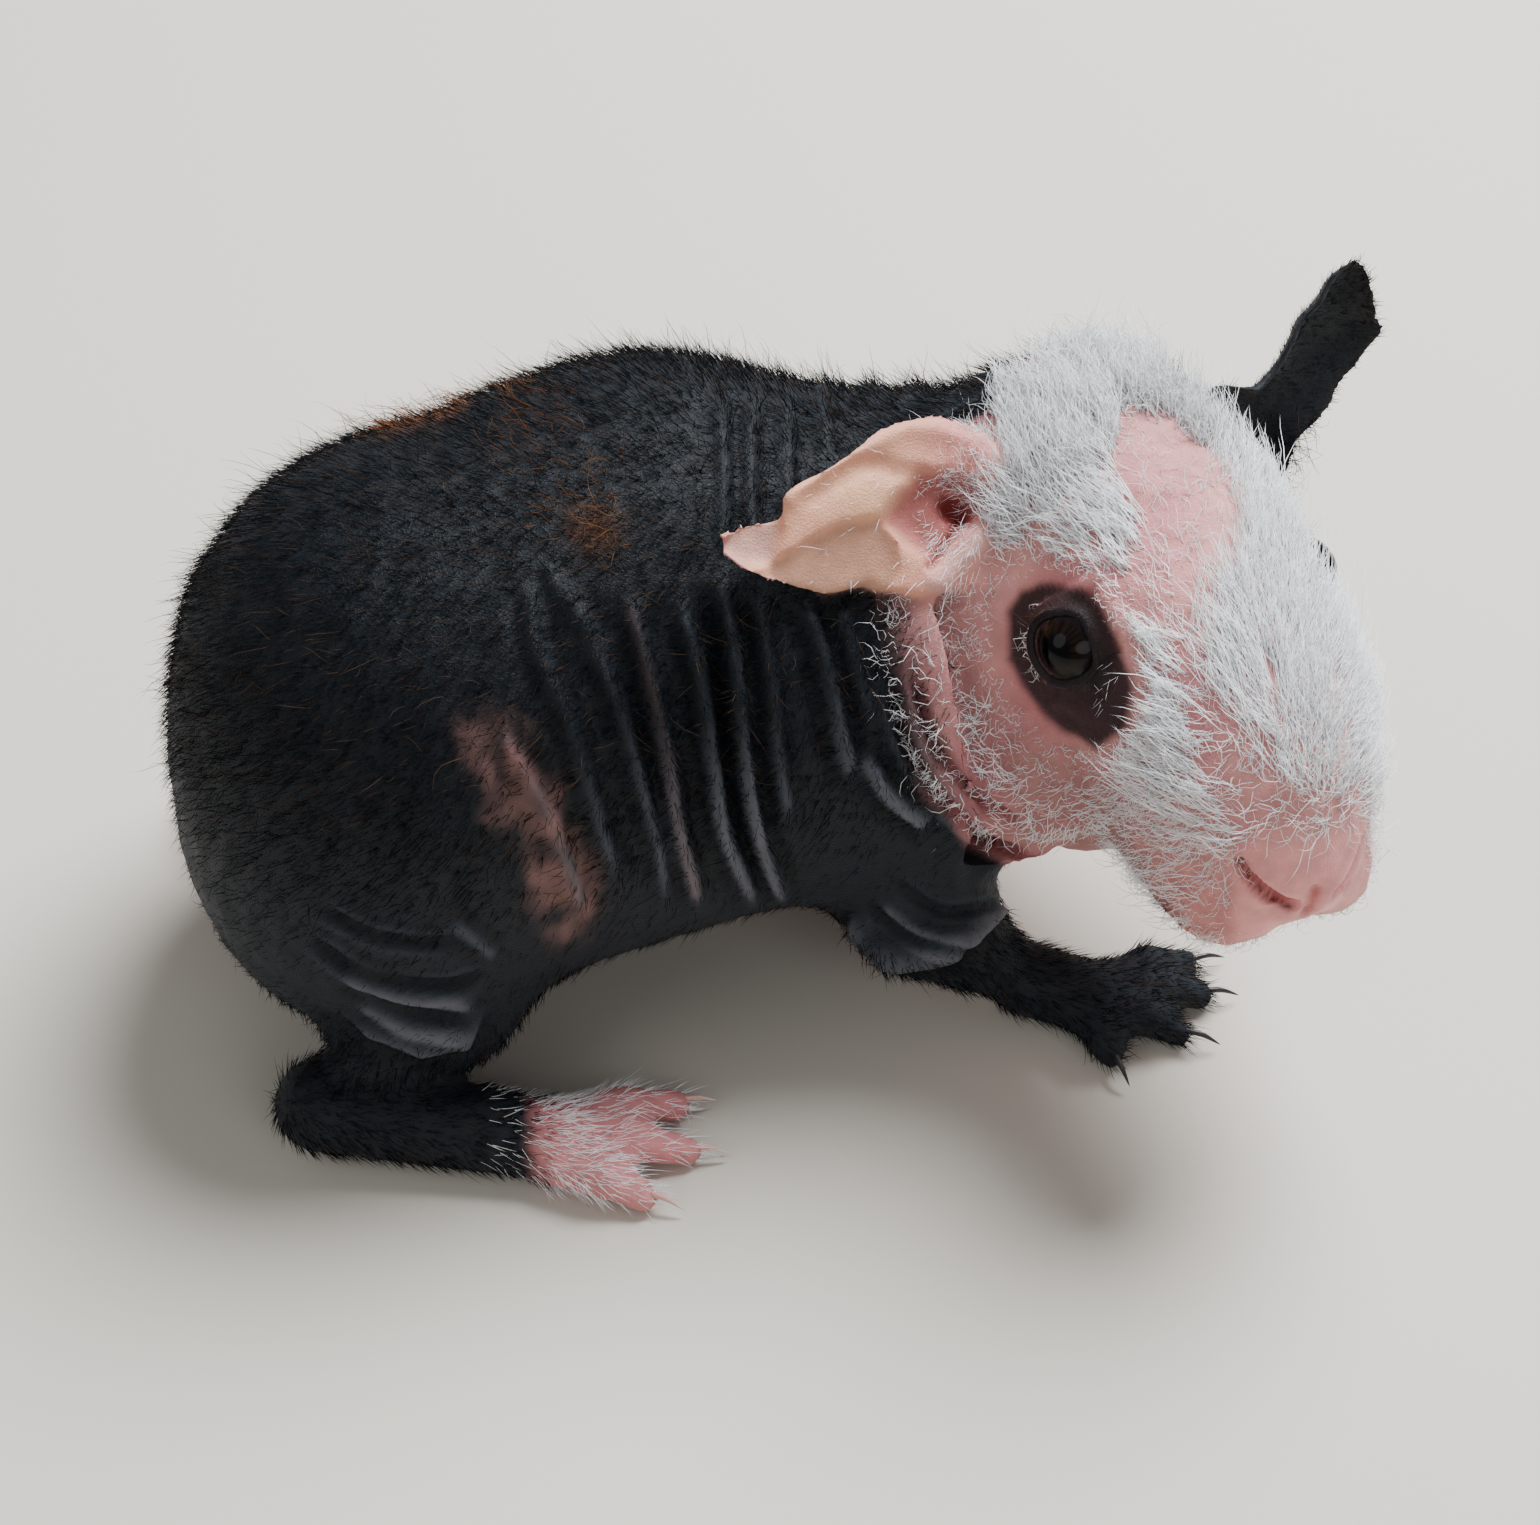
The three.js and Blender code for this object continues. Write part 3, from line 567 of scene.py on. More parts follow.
# %% Fold lines
FOLD_GAIN = 1.6  # the right side's listed heights are made this much taller
FOLD_FADE = 0.16  # share of its length over which each end of a fold dies away
view_xy, _ = seen(points)
normals = normals_of(points, quads)
facing = -normals @ view_ahead
relief = np.zeros(COUNT)  # kept for the colours: high on the ridges, low in the creases


def ridge(chart, line, height, width, where):
    """How far a fold lifts each point, in mm."""
    line = curve(line)
    close = where > 0.01
    low_corner, high_corner = line.min(0) - 5 * width, line.max(0) + 5 * width
    close &= np.all((chart > low_corner) & (chart < high_corner), axis=1)
    lift = np.zeros(len(chart))
    d, t = line_distance(chart[close], line)
    wave = np.exp(-((d / width) ** 2)) - 0.42 * np.exp(-(((d - 1.95 * width) / (0.8 * width)) ** 2))
    ends = step(0, FOLD_FADE, t) * step(1, 1 - FOLD_FADE, t)
    lift[close] = height * wave * ends * where[close]
    return lift


FLANK_FOLDS = [
    ([(535, 575), (545, 668), (582, 755), (635, 923)], 0.4, 0.85),
    ([(505, 749), (545, 815), (579, 889), (593, 946)], 0.5, 0.9),
    ([(572, 588), (605, 668), (639, 762), (672, 869), (679, 943)], 0.6, 0.85),
    ([(635, 601), (659, 695), (679, 789), (691, 856), (716, 943)], 0.8, 0.9),
    ([(689, 608), (709, 695), (726, 789), (738, 856), (776, 943)], 0.9, 0.85),
    ([(732, 588), (746, 695), (756, 789), (773, 869), (803, 939)], 1.0, 0.9),
    ([(769, 608), (783, 695), (791, 775), (806, 856)], 0.45, 0.8),
    ([(813, 608), (833, 668), (853, 749), (872, 815)], 0.75, 0.9),
    ([(853, 621), (873, 695), (890, 742)], 0.35, 0.8),
    ([(874, 769), (903, 815), (950, 850)], 0.8, 0.9),
    ([(732, 407), (738, 494), (735, 575)], 0.35, 0.8),
    ([(766, 401), (763, 508), (771, 601)], 0.35, 0.8),
    ([(801, 404), (802, 488), (810, 601)], 0.35, 0.8),
    ([(836, 394), (843, 474)], 0.3, 0.8),
    ([(552, 575), (572, 621), (599, 695)], 0.3, 0.8),
    ([(344, 993), (411, 1020), (492, 1031)], 0.5, 0.9),
    ([(358, 1023), (418, 1053), (478, 1060)], 0.5, 0.8),
    ([(458, 943), (508, 983)], 0.35, 0.8),
    ([(893, 923), (947, 963), (1000, 963)], 0.3, 1.0),
]
FLANK_CREASES = [
    ([(720, 601), (736, 722), (749, 815), (769, 889), (796, 943)], -0.6, 0.5),
    ([(905, 680), (917, 749), (945, 805), (1000, 858), (1058, 884)], -0.7, 0.6),
    ([(929, 690), (950, 762), (992, 815), (1046, 852)], -0.6, 0.55),
    ([(310, 960), (372, 1000), (440, 1012), (505, 998)], -0.5, 0.55),
    ([(322, 930), (390, 962), (470, 968)], -0.4, 0.55),
    ([(880, 925), (930, 962), (1000, 975)], -0.4, 0.5),
    ([(905, 900), (960, 935), (1030, 925)], -0.35, 0.5),
]
bare = 1 - np.minimum(ears + feet, 1)
visible = step(0.0, 0.35, facing) * bare
for line, height, width in FLANK_FOLDS + FLANK_CREASES:
    relief += ridge(view_xy, at_view(line), FOLD_GAIN * height, width, visible)

side_xz = points[:, [0, 2]]
left = step(0.15, 0.5, normals[:, 1]) * step(-22, -8, points[:, 1]) * bare * (1 - part["head"])
LEFT_FOLDS = [
    ([(x, 5), (x - 0.6, 16), (x - 1.4, 27), (x - 3.2, 38)], 0.55, 0.85)
    for x in (-1.5, -5.2, -8.6, -12.4, -15.8, -19.7, -23.0, -26.6)
]
LEFT_FOLDS += [
    ([(20.5, 26), (16.5, 36), (17, 47), (21, 57)], 0.8, 1.0),
    ([(16, 22), (12.5, 34), (12.8, 46), (16, 58)], 0.8, 1.0),
    ([(11.5, 22), (8.4, 34), (8.6, 46), (11, 58)], 0.65, 0.95),
    ([(7, 24), (4.4, 36), (4.6, 46), (6, 57)], 0.45, 0.9),
    ([(2.6, 30), (0.8, 40), (1.0, 50)], 0.3, 0.85),
    ([(-38, 14), (-44, 18), (-52, 17)], 0.45, 0.9),
    ([(-37, 10.5), (-44, 13.5), (-52, 12.5)], 0.45, 0.9),
]
for line, height, width in LEFT_FOLDS:
    relief += ridge(side_xz, line, height, width, left)
print("folds:", len(FLANK_FOLDS + FLANK_CREASES + LEFT_FOLDS), "tallest", relief.max().round(2), "mm")

# %% [markdown]
# ## Sleeves at the knee and elbow
#
# The loose skin of the thigh ends in a soft hem, and the thin shank comes out of it like an arm out
# of a sleeve. The hem is the edge of an outline: just inside it the skin stands off, just outside it
# the skin is drawn in.

# %% Sleeve hems
KNEE_SLEEVE = [
    (294, 943), (311, 996), (338, 1031), (378, 1064), (428, 1084), (478, 1075), (497, 1030), (518, 983),
    (518, 889), (297, 889),
]
ELBOW_SLEEVE = [
    (861, 959), (870, 989), (913, 997), (968, 989), (1014, 949), (1044, 899), (980, 869), (880, 889),
]
LEFT_ELBOW_SLEEVE = [(5, 14), (9, 10), (15, 8.5), (22, 9.5), (26, 14), (27, 22), (5, 22)]


def hem(chart, outline, height, where):
    d = inside(chart, outline)
    cuff = height * step(-0.4, 0.5, d) * np.exp(-(np.maximum(d, 0) / 2.6) ** 2)
    tuck = -0.6 * height * step(0.3, -0.6, d) * np.exp(-(np.minimum(d, 0) / 1.6) ** 2)
    return (cuff + tuck) * where


legs = sum(part[n] for n in FLESH if "leg" in n)
limb = np.clip(legs + part["torso"], 0, 1)
low_down = step(20, 15, points[:, 2])
relief += hem(view_xy, at_view(KNEE_SLEEVE), 0.9, visible * limb * low_down)
relief += hem(view_xy, at_view(ELBOW_SLEEVE), 0.9, visible * limb * low_down)
relief += hem(side_xz, LEFT_ELBOW_SLEEVE, 0.8, left * low_down)
print("hems: 3, skin moved from", relief.min().round(2), "to", relief.max().round(2), "mm")

# %% [markdown]
# ## Throat, mouth and nose
#
# Pink rolls hang under the jaw from ear to ear. The mouth is a closed line below a split lip, and the
# nostrils are two slits that lean towards each other. These lines are written in the head's own
# frame, once, and mirrored. The parts of the nose and of the ear that the view shows best are marked
# on the view instead.

# %% Lines on the head
head_p = HEAD.into(points)
on_head = step(0.15, 0.6, part["head"])


def mirrored(p):
    """Points of the head's frame, all on its left side."""
    return np.stack([p[:, 0], np.abs(p[:, 1]), p[:, 2]], 1)


def groove(p, line, height, width, where):
    """A plain bell along a line: a lift or, below zero, a groove."""
    lift = np.zeros(len(p))
    close = where > 0.01
    d, _ = line_distance(p[close], curve(line))
    lift[close] = height * np.exp(-((d / width) ** 2)) * where[close]
    return lift


HEAD_LINES = [
    ([(44.4, 5.9, -5.6), (45.6, 4.9, -6.9), (46.8, 3.3, -8.1), (47.3, 2.3, -8.2)], -1.7, 0.6),
    ([(47.7, 0, -6.4), (47.7, 0, -9.6), (46.9, 0, -12.5), (45.2, 0, -15), (43.4, 0, -16.4)], -0.9, 0.5),
    ([(28, 9.4, -15.8), (33, 8.6, -16.8), (38.6, 5.6, -17.4), (42.6, 0, -17.0)], -0.9, 0.5),
    ([(40.5, 6.8, -6.0), (42.5, 6.6, -9.5), (42.0, 5.2, -13.0)], -0.25, 0.9),
    ([(44.6, 5.8, -4.1), (46.1, 4.4, -5.3), (47.3, 2.4, -6.4)], 0.4, 0.8),
]
head_relief = np.zeros(COUNT)
for line, height, width in HEAD_LINES:
    head_relief += groove(mirrored(head_p), line, height, width, on_head)
on_muzzle = step(0.1, 0.4, facing) * step(0.3, 0.8, part["head"])
NOSE_SLIT = [(1262, 884), (1272, 900), (1290, 919), (1312, 931)]
LIP_CLEFT = [(1340, 915), (1331, 939), (1319, 962), (1300, 975)]
head_relief += groove(view_xy, at_view(NOSE_SLIT), -1.2, 0.5, on_muzzle)
head_relief += groove(view_xy, at_view([(1256, 872), (1280, 893), (1312, 912)]), 0.5, 0.8, on_muzzle)
head_relief += groove(view_xy, at_view(LIP_CLEFT), -0.9, 0.5, on_muzzle)
for e_at, height, width in ((1.42, -0.35, 0.13), (1.72, 0.25, 0.16), (2.05, -0.22, 0.14)):
    head_relief += height * np.exp(-(((lid - e_at) / width) ** 2))
relief += head_relief

# the canal, the slit behind the tragus and the tragus, pushed along the view
CANAL_AT, CANAL_SIZE, CANAL_DEPTH = (972, 530), (2.5, 1.7), 1.7
CANAL_TURN = np.array([[0.8, 0.6], [-0.6, 0.8]])
EAR_SLIT = [(946, 584), (961, 562), (977, 539)]
TRAGUS = [(999, 555), (980, 577), (958, 601)]
cup = step(0.05, 0.3, facing) * of_parts("ear_right", "head")
canal_r = np.linalg.norm((view_xy - at_view([CANAL_AT])[0]) @ CANAL_TURN / CANAL_SIZE, axis=1)
cup_push = CANAL_DEPTH * step(1.0, 0.25, canal_r) * cup
cup_push += groove(view_xy, at_view(EAR_SLIT), 1.0, 0.4, cup)
cup_push -= groove(view_xy, at_view(TRAGUS), 0.9, 1.3, cup)

under = step(0.0, 0.4, -normals[:, 2]) * step(36, 26, points[:, 2]) * step(6, 12, points[:, 2])
THROAT_ROLLS = (6.0, 9.6, 13.2, 16.8)
along = head_p[:, 0] + 0.25 * np.abs(head_p[:, 1])
for at in THROAT_ROLLS:
    relief += 0.55 * np.exp(-(((along - at) / 1.1) ** 2)) * under * of_parts("head", "neck")
print("head lines:", len(HEAD_LINES), "mirrored; throat rolls:", len(THROAT_ROLLS))

# %% [markdown]
# ## Fine crepe
#
# Between the folds the skin is never smooth: it is puckered like crepe. Two sizes of noise, stretched
# along the body's height, are enough, because the material's bump adds the finest grain.

# %% Crepe, then move the skin
flat = points * np.array([1.0, 1.0, 0.35])
crepe = 0.10 * noise(flat, 1.7, 3) + 0.05 * noise(points, 0.95, 4)
crepe *= 1 - 0.75 * np.minimum(ears + feet, 1)
crepe *= step(1.0, 1.5, lid)
soft = relax(relief, 1)
points = points + (soft + crepe)[:, None] * normals + cup_push[:, None] * view_ahead
points[:, 2] = np.maximum(points[:, 2], 0.05)
skin.data.vertices.foreach_set("co", to_scene(points).ravel())
skin.data.polygons.foreach_set("use_smooth", np.ones(len(skin.data.polygons), bool))
skin.data.update()
normals = normals_of(points, quads)
print("skin moved; its box in mm:", np.ptp(points, axis=0).round(1))

# %% [markdown]
# ## Markings
#
# Black and pink skin meet in soft, ragged borders. One colour per point holds all the markings, made
# from the part weights, the same charts and a little noise; it also holds painted sheen on the fold
# crests and painted shade in the creases and hollows. The hair reads its colour from the same numbers
# at its roots, so the coat and the skin can't disagree.

# %% Where the skin is pink, black or tinted
BLACK = np.array([0.005, 0.007, 0.010])
SLATE_AND_SHEEN = np.array([0.025, 0.032, 0.043])  # bare black skin's slate tone, with painted sheen where it rises over a fold
PINK = np.array([0.57, 0.275, 0.255])
ROSE = np.array([0.55, 0.195, 0.205])
PEACH = np.array([0.70, 0.34, 0.22])
PLUM = np.array([0.042, 0.020, 0.022])
TAN = np.array([0.26, 0.135, 0.12])
RUST = np.array([0.30, 0.10, 0.03])
# dark red for the painted shade in the ear canal, the slits and the lip cleft
RECESS_SHADE_RED = np.array([0.20, 0.025, 0.025])

ragged = 1.3 * noise(points, 5, 11) + 0.7 * noise(points, 1.8, 12)
view_xy, _ = seen(points)
mark_x = MARK_MIDDLE + 10 * view_xy[:, 0]  # how far right, in the landmarks' unit
facing = -normals @ view_ahead
side_xz = points[:, [0, 2]]
head_p = HEAD.into(points)
x_head, y_head, z_head = head_p.T


def within(outline):
    """How far inside an outline of the view each point lies, in mm."""
    return inside(view_xy, at_view(outline))


def off_spot(middle, radii):
    """How far each point lies from a spot of the view: 1 on the spot's edge."""
    return np.linalg.norm((view_xy - at_view([middle])[0]) / radii, axis=1)


def blend(colour, other, share):
    share = np.clip(share, 0, 1)[:, None]
    return colour * (1 - share) + other * share


# how far back the head's pink reaches, by the angle round its axis from its left side over the crown
BORDER_ANGLES = [-180, -135, -100, -70, -40, 0, 30, 50, 62, 75, 90, 120, 150, 180]
BORDER_BACK = [-13, -12, -8, 0, 9, 12.5, 12, 9, 3, -6, -11, -13, -14, -13]
angle = np.degrees(np.arctan2(z_head + 2, y_head))
border = np.interp(angle, BORDER_ANGLES, BORDER_BACK)
head_pink = step(-0.8, 0.8, x_head - border + ragged) * step(4, 7, points[:, 2])
head_pink *= step(0.2, 0.6, part["head"] + part["neck"] + 0.6 * part["torso"])
RIGHT_PINK = [
    (873, 608), (875, 682), (900, 755), (937, 819), (983, 866), (1040, 897), (1107, 909), (1188, 926),
    (1281, 1056), (1549, 1056), (1549, 280), (1114, 280), (1077, 387), (1020, 421), (940, 460),
]
head_pink *= np.where(part["head"] > 0.3, 1, 1 - step(14, 20, np.abs(y_head)))
in_view = step(-0.6, 0.6, within(RIGHT_PINK) + 0.5 * ragged) * step(16, 20, points[:, 2])
on_sleeve = of_parts("foreleg_right", "forefoot_right")
in_view *= 1 - on_sleeve * step(-5.5, -7.5, view_xy[:, 1])
on_right = step(-0.1, 0.15, relax(facing, 16)) * step(0, -6, y_head) * step(28, 20, np.abs(y_head))
head_pink = head_pink * (1 - on_right) + in_view * on_right

LEFT_PATCH = [
    (2, 14), (0.9, 19.4), (-7, 24.7), (-13.7, 38), (-22, 36), (-26, 43), (-31.5, 58), (-36.5, 57),
    (-37.5, 45), (-31.5, 33.3), (-30.4, 23), (-41.8, 24), (-56, 29), (-62, 26), (-62, -6), (6, -6),
]
outward = step(-0.1, 0.25, normals[:, 1]) * step(-20, -12, points[:, 1] + 0.6 * normals[:, 1])
belly = step(0.2, 0.6, -normals[:, 2]) * step(-22, -16, points[:, 1]) * step(5, 2, points[:, 0])
left_pink = step(-0.7, 0.7, inside(side_xz, LEFT_PATCH) + 0.8 * ragged) * np.maximum(outward, belly)
left_pink *= 1 - of_parts("neck", "head")
hind_toes = part["hindfoot_right"] * step(-25, -21, points[:, 0] + 0.8 * ragged)
left_feet = part["hindfoot_left"] + part["forefoot_left"]
thigh = step(0.2, 0.7, relax(part["hindleg_left"], 30) + 0.12 * ragged)
left_shank = thigh * step(26, 20, points[:, 2]) + part["foreleg_left"] * step(12, 9, points[:, 2])
body_pink = np.clip(np.maximum(left_pink, left_shank), 0, 1)
toes_pink = np.clip(hind_toes + left_feet, 0, 1)

left_ear, right_ear = part["ear_left"], part["ear_right"]
pink = np.clip(np.maximum.reduce([head_pink, body_pink, toes_pink, right_ear]) * (1 - left_ear), 0, 1)
print("share of the skin that is pink:", pink.mean().round(2))

# %% Layer the colours
FLANK_PATCH = [
    (463, 749), (492, 734), (533, 749), (560, 789), (580, 842), (605, 909), (613, 949), (573, 963),
    (545, 923), (537, 869), (512, 829), (484, 789),
]
TAN_FOLD = [(635, 601), (659, 695), (679, 789), (691, 856), (716, 943)]
RUST_AREA = [
    (518, 407), (572, 401), (625, 474), (645, 541), (639, 568), (585, 575), (545, 521), (505, 454),
]
EYE_PATCH = [
    (1022, 630), (1036, 606), (1071, 596), (1106, 608), (1137, 655), (1156, 706), (1150, 752),
    (1116, 770), (1078, 752), (1048, 718), (1024, 680),
]
FOLD_GREY = np.array([0.125, 0.128, 0.150])  # the crests of the folds, where they catch the light
EAR_YELLOW = np.array([0.74, 0.43, 0.25])
EAR_BROWN = np.array([0.50, 0.27, 0.19])
# greyed pink, painted shade in the hollow of the ear's tip
TIP_HOLLOW_SHADE = np.array([0.48, 0.31, 0.28])
BOWL_RED = np.array([0.34, 0.10, 0.10])
TRAGUS_PINK = np.array([0.74, 0.44, 0.40])
MUZZLE_PINK = np.array([0.62, 0.25, 0.23])
NOSE_PINK = np.array([0.74, 0.31, 0.30])
LEFT_LID, RIGHT_LID = np.array([0.36, 0.13, 0.12]), np.array([0.012, 0.007, 0.009])

shown = step(0.0, 0.2, facing)
streaks = noise(points * [1.0, 1.0, 0.45], 1.3, 21)
flank_patch = step(-2.2, 1.6, within(FLANK_PATCH) + 0.9 * ragged + 0.8 * streaks) * shown
flank_patch *= (1 - part["head"]) * np.clip(0.62 + 0.6 * streaks, 0, 1)
tan_line = groove(view_xy, at_view(TAN_FOLD), 1.0, 1.0, shown)
tan_line *= (1 - part["head"]) * step(0.1, 0.7, relief) * (0.6 + 0.6 * noise(points, 4, 22))
rust = step(-1.5, 1.0, within(RUST_AREA) + ragged) * shown * (1 - part["head"])
rust_left = np.exp(-((inside(side_xz, LEFT_PATCH) / 1.8) ** 2)) * step(22, 30, points[:, 2]) * outward
rust_left *= step(10, 0, points[:, 0]) * (1 - part["neck"])
plum = step(-0.5, 0.7, within(EYE_PATCH) + 0.35 * ragged) * shown * part["head"]
plum *= step(-2, -6, y_head)

bare_low = step(52, 34, points[:, 2]) * (1 - part["ear_left"])
tint = np.tile(BLACK, (COUNT, 1))
# painted sheen: more slate on the fold ridges; painted shade: no slate in the creases
tint = blend(tint, SLATE_AND_SHEEN, bare_low * (0.22 + 0.8 * step(0.0, 0.5, relief) - 0.22 * step(0, -0.3, relief)))
tint = blend(tint, FOLD_GREY, bare_low * 0.75 * step(0.3, 1.0, relief))
mottled = 0.55 + 0.45 * noise(points, 3.4, 24) + 0.25 * noise(points, 1.2, 25)
tint = blend(tint, TAN, 0.72 * flank_patch * np.clip(mottled + 0.25, 0, 1) + 0.2 * tan_line)
rust_spot = np.exp(-(off_spot((606, 545), [2.6, 2.2]) ** 2)) * shown
tint = blend(tint, RUST * 0.4, 0.5 * rust_spot * (1 - part["head"]))
skin_pink = blend(np.tile(PINK, (COUNT, 1)), ROSE, 0.35 + 0.5 * noise(points, 6, 31))
lower_ear = step(-0.4, 0.5, within(EAR_LOWER)) * shown * right_ear
ear_tip = step(-0.3, 0.9, within(EAR_TIP)) * shown * right_ear
bowl = step(-0.8, 1.4, within(EAR_BOWL)) * shown * of_parts("ear_right", "head")
yellow = np.exp(-(off_spot((882, 515), [4.0, 2.2]) ** 2)) * right_ear
skin_pink = blend(skin_pink, PEACH, right_ear * (0.15 + 0.75 * shown))
arch = step(905, 985, mark_x) * shown * right_ear
skin_pink = blend(skin_pink, ROSE * 1.1, 0.6 * arch)
skin_pink = blend(skin_pink, EAR_YELLOW, 0.75 * yellow * shown)
skin_pink = blend(skin_pink, EAR_BROWN, 0.75 * lower_ear)
# painted shade in the hollow of the ear's tip
skin_pink = blend(skin_pink, TIP_HOLLOW_SHADE, 0.6 * ear_tip)
skin_pink = blend(skin_pink, BOWL_RED, 0.85 * bowl)
# painted shade: the pink skin darker in the creases
skin_pink = blend(skin_pink, ROSE * [0.72, 0.6, 0.6], step(0.0, -0.5, relief) * 0.9)
in_shade = step(-2, -12, z_head) * step(-1, -8, y_head) * of_parts("head", "neck")
skin_pink = skin_pink * (1 - 0.36 * in_shade[:, None])
tint = blend(tint, skin_pink, pink)
tint = blend(tint, RUST, 0.8 * rust_left)
tint = blend(tint, ROSE, toes_pink * 0.6)
muzzle = step(31, 41, x_head) * step(-3, -9, z_head) * part["head"]
tint = blend(tint, MUZZLE_PINK, 0.65 * muzzle)
nose_pad = step(41.5, 44, x_head) * step(1, -3, z_head) * step(7.5, 6, np.abs(y_head))
nose_pad *= part["head"] * step(-14.5, -13, z_head)
tint = blend(tint, NOSE_PINK, 0.85 * nose_pad)
tint = blend(tint, PLUM, plum)

canal = np.where(cup > 0.1, canal_r, 9.0)
slit = groove(view_xy, at_view(EAR_SLIT), 1.0, 0.45, cup)
tint = blend(tint, TRAGUS_PINK, groove(view_xy, at_view(TRAGUS), 0.8, 1.3, cup))
# painted shade, dark red, deep in the ear canal and along the slit behind the tragus
tint = blend(tint, RECESS_SHADE_RED, step(1.1, 0.5, canal) * 0.9)
tint = blend(tint, RECESS_SHADE_RED, 0.8 * slit)
rim_colour = np.where(lid_side[:, None] > 0, LEFT_LID, RIGHT_LID)
tint = blend(tint, rim_colour, step(1.55, 1.15, lid))
# painted shade, dark red, inside the nostrils and along the lip cleft
nostril = groove(mirrored(head_p), HEAD_LINES[0][0], 1.0, 0.62, x_head > 38)
slits = groove(view_xy, at_view(NOSE_SLIT), 1.0, 0.5, on_muzzle)
tint = blend(tint, RECESS_SHADE_RED * 0.5, np.clip(0.95 * nostril + 0.9 * slits, 0, 1))
tint = blend(tint, RECESS_SHADE_RED * 1.6, groove(view_xy, at_view(LIP_CLEFT), 0.6, 0.5, on_muzzle))
throat_spot = off_spot((1086, 883), [2.6, 1.5])
tint = blend(tint, BLACK, step(1.3, 0.8, throat_spot) * step(20, 16, points[:, 2]) * (x_head < 12))
tint *= (1 + 0.07 * noise(points, 2.6, 41) + 0.05 * noise(points, 0.9, 42))[:, None]
tint = np.clip(tint, 0.004, 0.95)
print("tints from", tint.min(0).round(3), "to", tint.max(0).round(3))


# %% Store the colours on the skin
def paint(mesh, name, values):
    """A colour for each point; a mask is painted as grey."""
    rgba = np.ones((len(values), 4), np.float32)
    rgba[:, :3] = values if values.ndim == 2 else values[:, None]
    mesh.attributes.new(name, "FLOAT_COLOR", "POINT").data.foreach_set("color", rgba.ravel())


wet = np.clip(0.5 * step(1.2, 1.08, lid) + 0.5 * nostril + 0.35 * nose_pad, 0, 1)
paint(skin.data, "tint", tint)
paint(skin.data, "wetness", wet)
print("painted:", [a.name for a in skin.data.attributes if a.data_type == "FLOAT_COLOR"])

# %% [markdown]
# ## Skin grain, a group for every flesh-like surface
#
# Close up, the skin has pores and a net of fine lines. The group takes a colour, a scale and how
# mottled it should be, and gives back the mottled colour, a height and a mask. Each material adds what
# belongs to it: its roughness, and for the skin a little depth for the light and a faint sheen.


# %% Shader groups
def new_group(name, inputs, outputs):
    group = bpy.data.node_groups.new(name, "ShaderNodeTree")
    for kind, title, value in inputs:
        socket = group.interface.new_socket(title, in_out="INPUT", socket_type=kind)
        socket.default_value = value
    for kind, title in outputs:
        group.interface.new_socket(title, in_out="OUTPUT", socket_type=kind)
    return group, group.nodes.new("NodeGroupInput").outputs, group.nodes.new("NodeGroupOutput").inputs


def node(tree, kind, links=None, **settings):
    """A node with its settings, and with its sockets set or linked by name or number."""
    made = tree.nodes.new(kind)
    for key, value in settings.items():
        setattr(made, key, value)
    for key, value in (links or {}).items():
        if isinstance(value, bpy.types.NodeSocket):
            tree.links.new(value, made.inputs[key])
        else:
            made.inputs[key].default_value = value
    return made


def maths(tree, operation, a, b):
    return node(tree, "ShaderNodeMath", {0: a, 1: b}, operation=operation).outputs[0]


def scaled(tree, vector, amount):
    links = {0: vector, "Scale": amount}
    return node(tree, "ShaderNodeVectorMath", links, operation="SCALE").outputs[0]


grain, given, result = new_group(
    "skin_grain",
    [
        ("NodeSocketColor", "Colour", (0.5, 0.5, 0.5, 1)),
        ("NodeSocketFloat", "Scale", 1.0),
        ("NodeSocketFloat", "Mottle", 0.2),
    ],
    [("NodeSocketColor", "Colour"), ("NodeSocketFloat", "Height"), ("NodeSocketFloat", "Mask")],
)
place = node(grain, "ShaderNodeTexCoord").outputs["Object"]
place = scaled(grain, place, given["Scale"])
cells = node(grain, "ShaderNodeTexVoronoi", {"Vector": place, "Scale": 2400.0}, feature="DISTANCE_TO_EDGE")
lines = node(grain, "ShaderNodeMapRange", {"Value": cells.outputs[0], "From Max": 0.18}).outputs[0]
broad = node(grain, "ShaderNodeTexNoise", {"Vector": place, "Scale": 420.0, "Detail": 4.0}).outputs[0]
fine = node(grain, "ShaderNodeTexNoise", {"Vector": place, "Scale": 3100.0, "Detail": 3.0}).outputs[0]
dim = node(grain, "ShaderNodeMapRange", {"Value": broad, "From Min": 0.3, "From Max": 0.7}).outputs[0]
shade = maths(grain, "MULTIPLY", maths(grain, "SUBTRACT", dim, 0.5), given["Mottle"])
shade = maths(grain, "ADD", shade, 1.0)
grain.links.new(scaled(grain, given["Colour"], shade), result["Colour"])
height = maths(grain, "ADD", maths(grain, "MULTIPLY", lines, 0.55), maths(grain, "MULTIPLY", fine, 0.6))
grain.links.new(height, result["Height"])
grain.links.new(dim, result["Mask"])
print("group:", grain.name, "with", len(grain.nodes), "nodes")


# %% Skin material
def new_material(name):
    material = bpy.data.materials.new(name)
    material.use_nodes = True
    shader = material.node_tree.nodes["Principled BSDF"]
    return material, material.node_tree, shader


def attribute(tree, name):
    return node(tree, "ShaderNodeAttribute", attribute_name=name).outputs["Color"]


def grained_material(name, mottle, scale=1.0):
    """A material that shows the painted tint, mottled by the skin grain."""
    material, tree, shader = new_material(name)
    links = {"Colour": attribute(tree, "tint"), "Scale": scale, "Mottle": mottle}
    made = node(tree, "ShaderNodeGroup", links, node_tree=grain).outputs
    tree.links.new(made["Colour"], shader.inputs["Base Color"])
    return material, tree, shader, made


def set_inputs(shader, values):
    for name, value in values.items():
        shader.inputs[name].default_value = value


